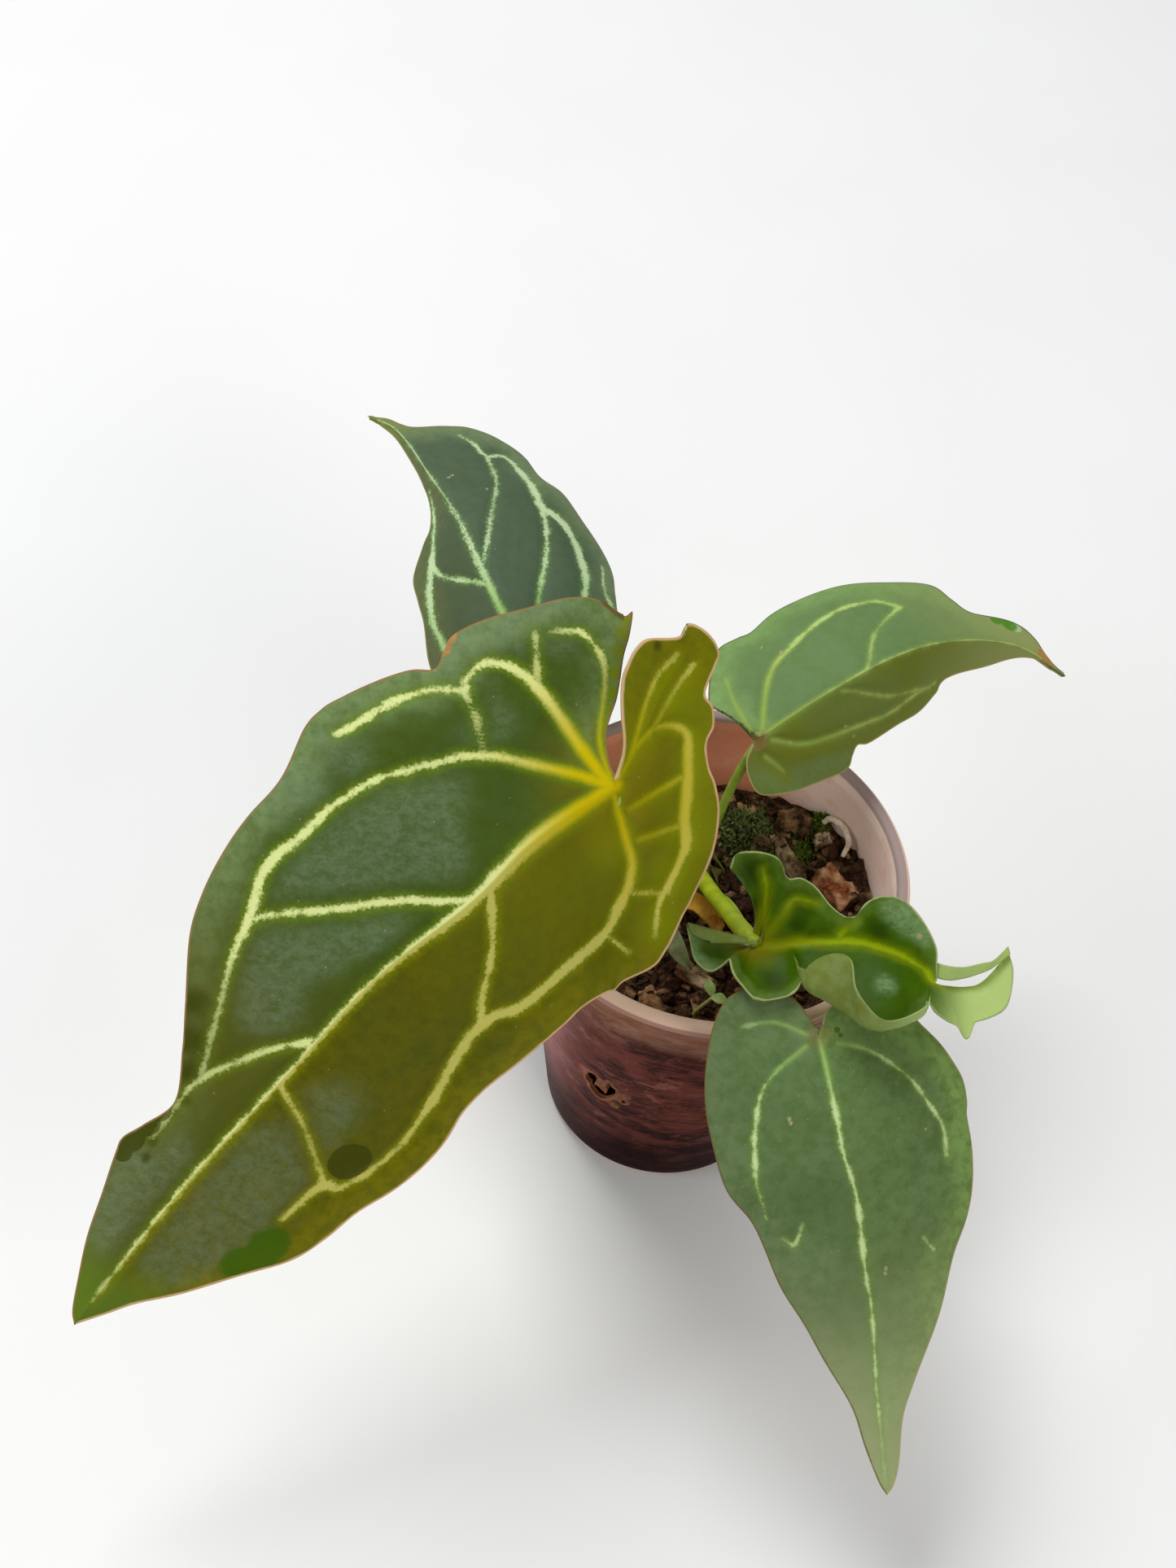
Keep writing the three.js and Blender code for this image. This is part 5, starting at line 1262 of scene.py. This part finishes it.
def make_crown():
    sides, rings = 40, 22
    foot_height, middle_height, scale_height = 41, 47, 46.5
    turn = turns(sides)
    rows = []
    for t in np.linspace(0, 1, rings):
        height = foot_height + (CROWN_TOP - foot_height) * math.sin(t * math.pi / 2)
        radius = 6 * math.cos(t * math.pi / 2) ** 0.45 * (0.82 + 0.18 * t)
        x, y = CROWN_PLACE[0] + radius * np.cos(turn), CROWN_PLACE[1] + radius * np.sin(turn)
        rows.append(np.stack([x, y, np.full(sides, height)], 1))
    points = np.vstack(rows)
    outward = unit(points - np.array((*CROWN_PLACE, middle_height)))
    points = points + outward * (0.5 * waves(points, 5, 23) - 0.4)[:, None]
    parts = [(points, grid_faces(rings, sides))]
    for k in range(6):
        out, across = directions(k * 1.15 + 0.4)
        foot = np.array((*CROWN_PLACE, scale_height)) + out * 5.4
        tip = foot - out * 1.6 + np.array((0, 0, 7.2 - 0.5 * (k % 3)))
        belly = (foot + tip) / 2 + out * 1.2
        wide = across * (2.3 - 0.25 * (k % 2))
        edge_a = [foot + wide, belly + wide * 0.85, tip]
        edge_b = [foot - wide, belly - wide * 0.85, tip + across * 0.05]
        parts.append(ribbon(edge_a, edge_b, 8, 9, bow=-0.5, thickness=0.25, ripple=0.1, seed=k))
    make_object("stem_foot", *joined(parts), crown_material, ["crown"], "crown")


make_crown()

# The pot.

# Melted air holes in the wall, seen from outside: outline [across, up], then angle round the pot and height.
OPENINGS = [
    ([(-2.68, 2.1), (-1.9, 3), (-1.1, 3.1), (-0.6, 2.5), (-0.7, 1.1), (-1.05, -0.4), (-0.5, -0.2),
      (0.3, -0.5), (0.75, -0.8), (1, -1.2), (1.1, 0.6), (0.85, 1.2), (1.15, 3), (1.55, 3.8), (2, 2.6),
      (2.7, 2.1), (2.85, 0.9), (2.5, -0.7), (1.6, -2.5), (0.6, -4.1), (-0.5, -4.25), (-1.3, -3.6),
      (-2, -2.8), (-2.1, -1.4), (-2.8, -1), (-3.05, 0.3)], -116.3, 29),
    ([(-0.5, -0.5), (0.2, -0.7), (0.6, 0), (0.3, 0.5), (-0.3, 0.6)], -106.2, 28),
    ([(-0.25, -0.3), (0.25, -0.25), (0.2, 0.3), (-0.2, 0.25)], -105.3, 30.4),
    ([(-0.25, -0.3), (0.3, -0.2), (0.2, 0.3), (-0.2, 0.25)], -109.5, 24.8),
]
RIM_BEAD = 0.14
# A distance from a melted edge at which nothing of it shows.
UNMELTED = 9.0
# Length of the shapes that cut the openings and the drain holes.
CUTTER_REACH = 6
# Drain holes in the foot: how many, how far from the middle, their radius and where a cutter starts.
DRAINS = 4
DRAIN_PLACE = 10
DRAIN_RADIUS = 2
DRAIN_START = -2
# Roundness of the wall: sides of the pot, and shares by which two slow waves bend it.
POT_SIDES = 216
OVAL = 0.0012
WAVY = 0.0008


def pot_wall(height):
    """Outer radius of the wall."""
    slope = (RIM_RADIUS - LIP_WIDTH - BASE_RADIUS) / POT_HEIGHT
    return BASE_RADIUS + slope * height


def pot_profile():
    """Radius and height from the foot up the outside, over the lip and down the inside."""
    top, under = POT_HEIGHT, POT_HEIGHT - LIP_HEIGHT

    def inside(z):
        return pot_wall(z) - POT_WALL

    outer = [(BASE_RADIUS - 1.6, 0.0), (BASE_RADIUS - 0.7, 0.25), (BASE_RADIUS - 0.1, 1.0),
             (pot_wall(1.8), 1.8)]
    outer += [(pot_wall(z), z) for z in np.arange(3.5, under - 0.4, 0.8)]
    lip = [(pot_wall(under - 0.2), under - 0.2), (RIM_RADIUS - 0.5, under), (RIM_RADIUS - 0.1, under + 0.4),
           (RIM_RADIUS, under + 1), (RIM_RADIUS - 0.02, top - 0.7), (RIM_RADIUS - 0.25, top - 0.2),
           (RIM_RADIUS - 0.7, top), (inside(top) + 0.4, top), (inside(top) + 0.05, top - 0.3)]
    inner = [(inside(z), z) for z in np.arange(top - 1.2, POT_FLOOR + 1.2, -1.6)]
    floor = [(inside(POT_FLOOR) - 0.3, POT_FLOOR + 0.35), (inside(POT_FLOOR) - 1.2, POT_FLOOR)]
    return outer + lip + inner + floor


def face_outwards(mesh):
    shape = bmesh.new()
    shape.from_mesh(mesh)
    bmesh.ops.recalc_face_normals(shape, faces=shape.faces[:])
    shape.to_mesh(mesh)
    shape.free()


def cut(piece, points, faces):
    """Takes a closed shape out of a piece."""
    cutter = into_scene("cutter", mesh_of("cutter", points, faces))
    face_outwards(cutter.data)
    face_outwards(piece.data)
    change = piece.modifiers.new("cut", "BOOLEAN")
    change.operation = "DIFFERENCE"
    change.solver = "EXACT"
    change.object = cutter
    bpy.context.view_layer.update()
    settled = bpy.data.meshes.new_from_object(piece.evaluated_get(bpy.context.evaluated_depsgraph_get()))
    piece.modifiers.clear()
    piece.data = settled
    bpy.data.objects.remove(cutter)


def make_pot():
    profile = np.array(pot_profile())
    turn = turns(POT_SIDES)
    radius = profile[:, :1] * (1 + OVAL * np.sin(2 * turn + 0.4) + WAVY * np.sin(5 * turn))
    height = np.repeat(profile[:, 1:], POT_SIDES, 1)
    points = np.stack([radius * np.cos(turn), radius * np.sin(turn), height], 2)
    faces = grid_faces(len(profile), POT_SIDES)
    points = close_ends(points.reshape(-1, 3), faces, POT_SIDES, [(0, 0, 0), (0, 0, POT_FLOOR)])
    piece = make_object("cup", points, faces, pot_material(), ["pot"], "pot_plastic")

    openings = []
    cutters = []
    for outline, angle, height in OPENINGS:
        closed = smooth(outline + outline[:1], 3)
        out, side = directions(math.radians(angle))
        openings.append((closed, out, side, height))
        start = out * (pot_wall(height) - CUTTER_REACH / 2) + np.array((0, 0, height))
        ring = [start + side * x + np.array((0, 0, y)) for x, y in closed[:-1]]
        cutters.append(prism(ring, out * CUTTER_REACH))
    for k in range(DRAINS):
        out, _ = directions(math.radians(45 + 360 / DRAINS * k))
        middle = out * DRAIN_PLACE + np.array((0, 0, DRAIN_START))
        ring = [middle + directions(angle)[0] * DRAIN_RADIUS for angle in turns(24)]
        cutters.append(prism(ring, (0, 0, CUTTER_REACH)))
    cut(piece, *joined(cutters))

    mesh = piece.data
    places = np.zeros(len(mesh.vertices) * 3)
    mesh.vertices.foreach_get("co", places)
    places = places.reshape(-1, 3) / METRE
    middle = pot_wall(places[:, 2]) - POT_WALL / 2
    inside = np.linalg.norm(places[:, :2], axis=1) < middle
    melt = np.full(len(places), UNMELTED)
    rims = []
    for closed, out, side, height in openings:
        flat = np.stack([places @ side, places[:, 2] - height], 1)
        melt = np.minimum(melt, np.where(places @ out > 0, nearest(flat, closed), UNMELTED))
        ring = []
        for x, y in closed:
            r = pot_wall(height + y)
            ring.append(out * math.sqrt(r * r - x * x) + side * x + np.array((0, 0, height + y)))
        radii = RIM_BEAD * (1 + 0.5 * waves(np.array(ring), 2.5, 9))
        rims.append(tube(ring, radii, 10, 2, caps=False))
    add_marks(mesh, {"melt": melt, "inside": inside})
    points, faces = joined(rims)
    marks = {"melt": np.zeros(len(points)), "inside": np.zeros(len(points))}
    make_object("melted_rims", points, faces, mesh.materials[0], [], "pot_plastic", marks)


make_pot()

# The potting mix: a mound under loose crumbs, with bark chips, moss and a root on top.

# Gaps between the wall and the mound's top, and between the wall and the mound's side or a crumb.
TOP_GAP = 0.15
SIDE_GAP = 0.2
MOUND_FOOT = 1.6
CRUMBS = 700
CRUMB_REACH = 25.2
CRUMB_SIZES = (0.9, 1.3, 1.9, 2.7, 3.7)
CROWN_CLEARANCE = 6


def mix_height(x, y):
    """Height of the mix, which rises to the right and is a little bumpy."""
    bumps = np.sin(0.55 * x + 1.3) * np.cos(0.48 * y - 0.4) + 0.6 * np.sin(0.95 * y + 0.7 * x)
    return MIX_TOP + 0.26 * x + 0.08 * y + 0.45 * bumps


def lump(shape_seed, divisions=3):
    """A unit lump: a box with rough faces and broken corners."""
    mesh = bmesh.new()
    bmesh.ops.create_cube(mesh, size=1)
    bmesh.ops.subdivide_edges(mesh, edges=mesh.edges[:], cuts=divisions, use_grid_fill=True)
    points = np.array([v.co[:] for v in mesh.verts])
    faces = [[v.index for v in f.verts] for f in mesh.faces]
    mesh.free()
    rounder = points / np.linalg.norm(points, axis=1, keepdims=True) * 0.62
    points = points * 0.72 + rounder * 0.28
    points += 0.11 * waves_three(points, 0.8, shape_seed)
    points += 0.07 * waves_three(points, 0.3, shape_seed + 9)
    points[:, 2] += 0.05 * waves(points[:, 1:], 0.33, shape_seed + 20)
    return points, faces


def placed(points, at, size, turn):
    rotation = np.array(Euler([math.radians(v) for v in turn], "XYZ").to_matrix())
    return (points * np.array(size)) @ rotation.T + np.array(at)


# Place with the height above the mix, size, turn in degrees, material and slot.
CHIPS = {
    "bark_chip_long": ((12.5, 11, 0.7), (8.5, 2.2, 1.8), (8, -4, -62), bark_pale, "bark"),
    "bark_chip_reddish": ((19.5, 6, 0.7), (6, 4.2, 2.6), (10, 12, -35), bark_reddish, "bark_reddish"),
    "bark_chip_pale": ((0.5, -10.5, 0.5), (5.4, 2.6, 1.6), (0, 8, -30), bark_pale, "bark_pale"),
    "bark_chip_back": ((12.6, 18.6, 0.5), (4.6, 3.4, 2.4), (-12, 6, 15), bark, "bark"),
    "bark_chip_upright": ((17.5, 14.5, 0.8), (2.4, 1.6, 6), (14, -20, 20), bark_pale, "bark_pale"),
    "bark_chip_left": ((-12, -9, 0.5), (6.5, 3.6, 2.2), (4, 6, 70), bark, "bark"),
}
for number, (key, ((x, y, above), size, turn, look, slot)) in enumerate(CHIPS.items()):
    shape, faces = lump(40 + 31 * number, 9)
    points = placed(shape, (x, y, mix_height(x, y) + above), size, turn)
    tone = 0.3 * waves(points, 3, number) + 0.15
    make_object("piece_" + key, points, faces, look, [key], slot, {"tone": tone})


def make_mound():
    """Points and faces of the mound, with dents down its side and a hollow behind the large opening."""
    rings, levels, sides, count = 46, 44, 150, 12
    turn = turns(sides)
    rows = []
    for share in np.arange(1, rings + 1) / rings:
        z = MIX_TOP
        for _ in range(3):
            radius = (pot_wall(z) - POT_WALL - TOP_GAP) * share
            x, y = radius * np.cos(turn), radius * np.sin(turn)
            z = mix_height(x, y)
        rows.append(np.stack([x, y, z], 1))
    top = np.vstack(rows)
    top[:, 2] += 0.55 * waves(top, 2.2, 61, count) + 0.35 * waves(top, 0.9, 62, count) - 0.5
    rows = [top]
    for share in np.arange(1, levels + 1) / levels:
        z = top[-sides:, 2] * (1 - share) + MOUND_FOOT * share
        radius = pot_wall(z) - POT_WALL - SIDE_GAP
        ring = np.stack([radius * np.cos(turn), radius * np.sin(turn), z], 1)
        dent = 1.8 * np.maximum(waves(ring, 5, 71, count), 0) + 0.5 * np.abs(waves(ring, 1.6, 72, count))
        aside = 23 * np.abs(np.angle(np.exp(1j * (turn - math.radians(OPENINGS[0][1])))))
        hollow = 4 * np.exp(-(aside / 4) ** 2 - ((z - OPENINGS[0][2]) / 5) ** 2)
        ring[:, :2] *= (1 - (dent + hollow) / radius)[:, None]
        rows.append(ring)
    faces = grid_faces(rings + levels, sides, flip=True)
    middles = [(0, 0, mix_height(0, 0)), (0, 0, MOUND_FOOT)]
    return close_ends(np.vstack(rows), faces, sides, middles, flip=True), faces


def make_mix():
    points, faces = make_mound()
    parts = [(points, faces)]
    tones = [0.25 * waves(points, 4, 81, 12)]
    rng = random.Random(7)
    kinds = [lump(200 + 50 * k) for k in range(6)]
    for _ in range(CRUMBS):
        radius = CRUMB_REACH * math.sqrt(rng.random())
        angle = 2 * math.pi * rng.random()
        x, y = radius * math.cos(angle), radius * math.sin(angle)
        if math.hypot(x - CROWN_PLACE[0], y - CROWN_PLACE[1]) < CROWN_CLEARANCE:
            continue
        long = rng.choice(CRUMB_SIZES)
        size = (long, long * rng.uniform(0.4, 0.75), long * rng.uniform(0.25, 0.45))
        z = float(mix_height(x, y)) - 0.2 + rng.uniform(-0.3, 0.5)
        turned = (rng.uniform(-35, 35), rng.uniform(-35, 35), rng.uniform(0, 360))
        shape, shape_faces = rng.choice(kinds)
        if radius + long / 2 > pot_wall(z) - POT_WALL - SIDE_GAP:
            continue
        parts.append((placed(shape, (x, y, z), size, turned), shape_faces))
        tones.append(np.full(len(shape), rng.uniform(-0.4, 0.35)))
    marks = {"tone": np.concatenate(tones)}
    make_object("mix", *joined(parts), mix_material, ["potting_mix"], "potting_mix", marks, even=False)


make_mix()


def tufts(name, middle, spread, count, length, look, nodes, slot, seed):
    """Moss: many small pointed leaves that stand out of a low cushion. middle: its x, y and rise."""
    rng = np.random.default_rng(seed)
    parts = []
    for _ in range(count):
        x, y = rng.normal(0, 0.42, 2) * np.array(spread)
        ground = mix_height(middle[0] + x, middle[1] + y)
        dome = max(0.0, 1 - (x / spread[0]) ** 2 - (y / spread[1]) ** 2)
        root = np.array((middle[0] + x, middle[1] + y, ground - 0.3 + rng.uniform(0.1, 1) * middle[2] * dome))
        lean = unit(np.array((rng.normal(), rng.normal(), rng.uniform(0.3, 1.4))))
        across = unit(np.cross(lean, rng.normal(size=3)))
        size = length * rng.uniform(0.6, 1.3)
        wide = across * size * 0.2
        bent = np.cross(lean, across) * size * 0.25
        belly = root + lean * size * 0.5
        tip = root + lean * size + bent
        parts.append((np.array([root, belly + wide, tip, belly - wide]), [(0, 1, 2, 3)]))
    make_object(name, *joined(parts), look, nodes, slot)


tufts("moss_cushion_dark", (4.5, 16.8, 2.4), (6.5, 4.6), 2600, 1.1, moss_dark,
      ["moss_dark"], "moss_dark", 5)
tufts("moss_cushion_bright", (8, 10.5, 1.8), (4.5, 3.4), 1100, 0.9, moss_bright,
      ["moss_bright"], "moss_bright", 6)
# Thinner moss beside the two cushions: middle and rise, spread, number of leaves, look.
MOSS_SCRAPS = [
    ((14.8, 14, 1), (2.6, 4.6), 500, moss_bright), ((17, 18.8, 1), (1.6, 2), 260, moss_bright),
    ((1.2, 18, 1.2), (2.4, 3.4), 500, moss_bright), ((9.5, 17, 1), (3, 3), 400, moss_dark),
]
for number, (middle, spread, count, look) in enumerate(MOSS_SCRAPS):
    tufts(f"moss_scrap_{number}", middle, spread, count, 0.9, look, [], "moss_bright", 30 + number)

points, faces = tube(ROOT_PATH, [0.42, 0.5, 0.52, 0.5, 0.45, 0.36], 16, 10)
points = points + 0.06 * waves_three(points, 1.0, 90)
make_object("root_hook", points, faces, root_material, ["surface_root"], "root")

scrap = ribbon(SHEATH_A, SHEATH_B, 12, 12, bow=0.35, thickness=0.2, ripple=0.12, seed=3)
make_object("sheath_scrap", *scrap, sheath_material, ["withered_sheath"], "withered_sheath")

parts = [ribbon(JUVENILE_A, JUVENILE_B, 12, 12, bow=0.25, thickness=0.25, ripple=0.05, seed=4)]
parts.append(tube(JUVENILE_STALK, [0.6, 0.5, 0.45], 12, 8))
make_object("small_old_leaf", *joined(parts), juvenile_material, ["juvenile_leaf"], "juvenile")

parts = [tube(SEEDLING_STEM, [0.4, 0.32, 0.3], 10, 8)]
parts += [ribbon(a, b, 10, 9, bow=0.12, thickness=0.2) for a, b in LEAFLETS]
make_object("sprout", *joined(parts), sprout_material, ["weed_seedling"], "juvenile")

# Floor, light and camera.

FLOOR_REACH = 3000
shader = Shader("floor")
tint = shader.mix(shader.noise(60, 2), rgb(226, 224, 220), rgb(232, 230, 227))
corners = [(x * FLOOR_REACH, y * FLOOR_REACH, 0) for x, y in ((-1, -1), (1, -1), (1, 1), (-1, 1))]
floor = into_scene("floor", mesh_of("floor", corners, [(0, 1, 2, 3)]))
floor.data.materials.append(shader.finish(shader.principled(tint, 0.7)))


def area_light(name, place, target, size, watts, colour):
    """A round lamp. Places and size are metres."""
    data = bpy.data.lights.new(name, "AREA")
    data.shape = "DISK"
    data.size = size
    data.energy = watts
    data.color = colour
    lamp = into_scene(name, data)
    lamp.location = place
    lamp.rotation_euler = (Vector(target) - Vector(place)).to_track_quat("-Z", "Y").to_euler()


area_light("window", (-0.4, 0.45, 1.1), (-0.02, -0.02, 0.07), 0.6, 11, (0.95, 0.98, 1))
area_light("front_fill", (0.55, -0.6, 0.6), (0, 0, 0.05), 0.6, 3.4, (1, 0.97, 0.92))
area_light("left_fill", (-0.7, -0.35, 0.4), (0, 0, 0.05), 0.5, 2.4, (0.95, 0.98, 1))
world = bpy.data.worlds.new("studio")
world.use_nodes = True
background = world.node_tree.nodes["Background"]
background.inputs["Color"].default_value = (0.9, 0.93, 1, 1)
background.inputs["Strength"].default_value = 0.36
bpy.context.scene.world = world
bpy.context.scene.view_settings.view_transform = "Standard"

CAMERA_DOWN = math.radians(51.62)
CAMERA_ROLL = math.radians(10.07)
CAMERA_PLACE = (-0.02058, -0.19809, 0.32708)
ahead = Vector((0, math.cos(CAMERA_DOWN), -math.sin(CAMERA_DOWN)))
level_up = Vector((0, math.sin(CAMERA_DOWN), math.cos(CAMERA_DOWN)))
level_right = Vector((1, 0, 0))
right = level_right * math.cos(CAMERA_ROLL) + level_up * math.sin(CAMERA_ROLL)
upward = level_up * math.cos(CAMERA_ROLL) - level_right * math.sin(CAMERA_ROLL)
data = bpy.data.cameras.new("camera")
data.sensor_width = 36
data.lens = 50.44
data.clip_start = 0.01
camera = into_scene("camera", data)
pose = Matrix((right, upward, -ahead)).transposed().to_4x4()
pose.translation = Vector(CAMERA_PLACE)
camera.matrix_world = pose
bpy.context.scene.camera = camera
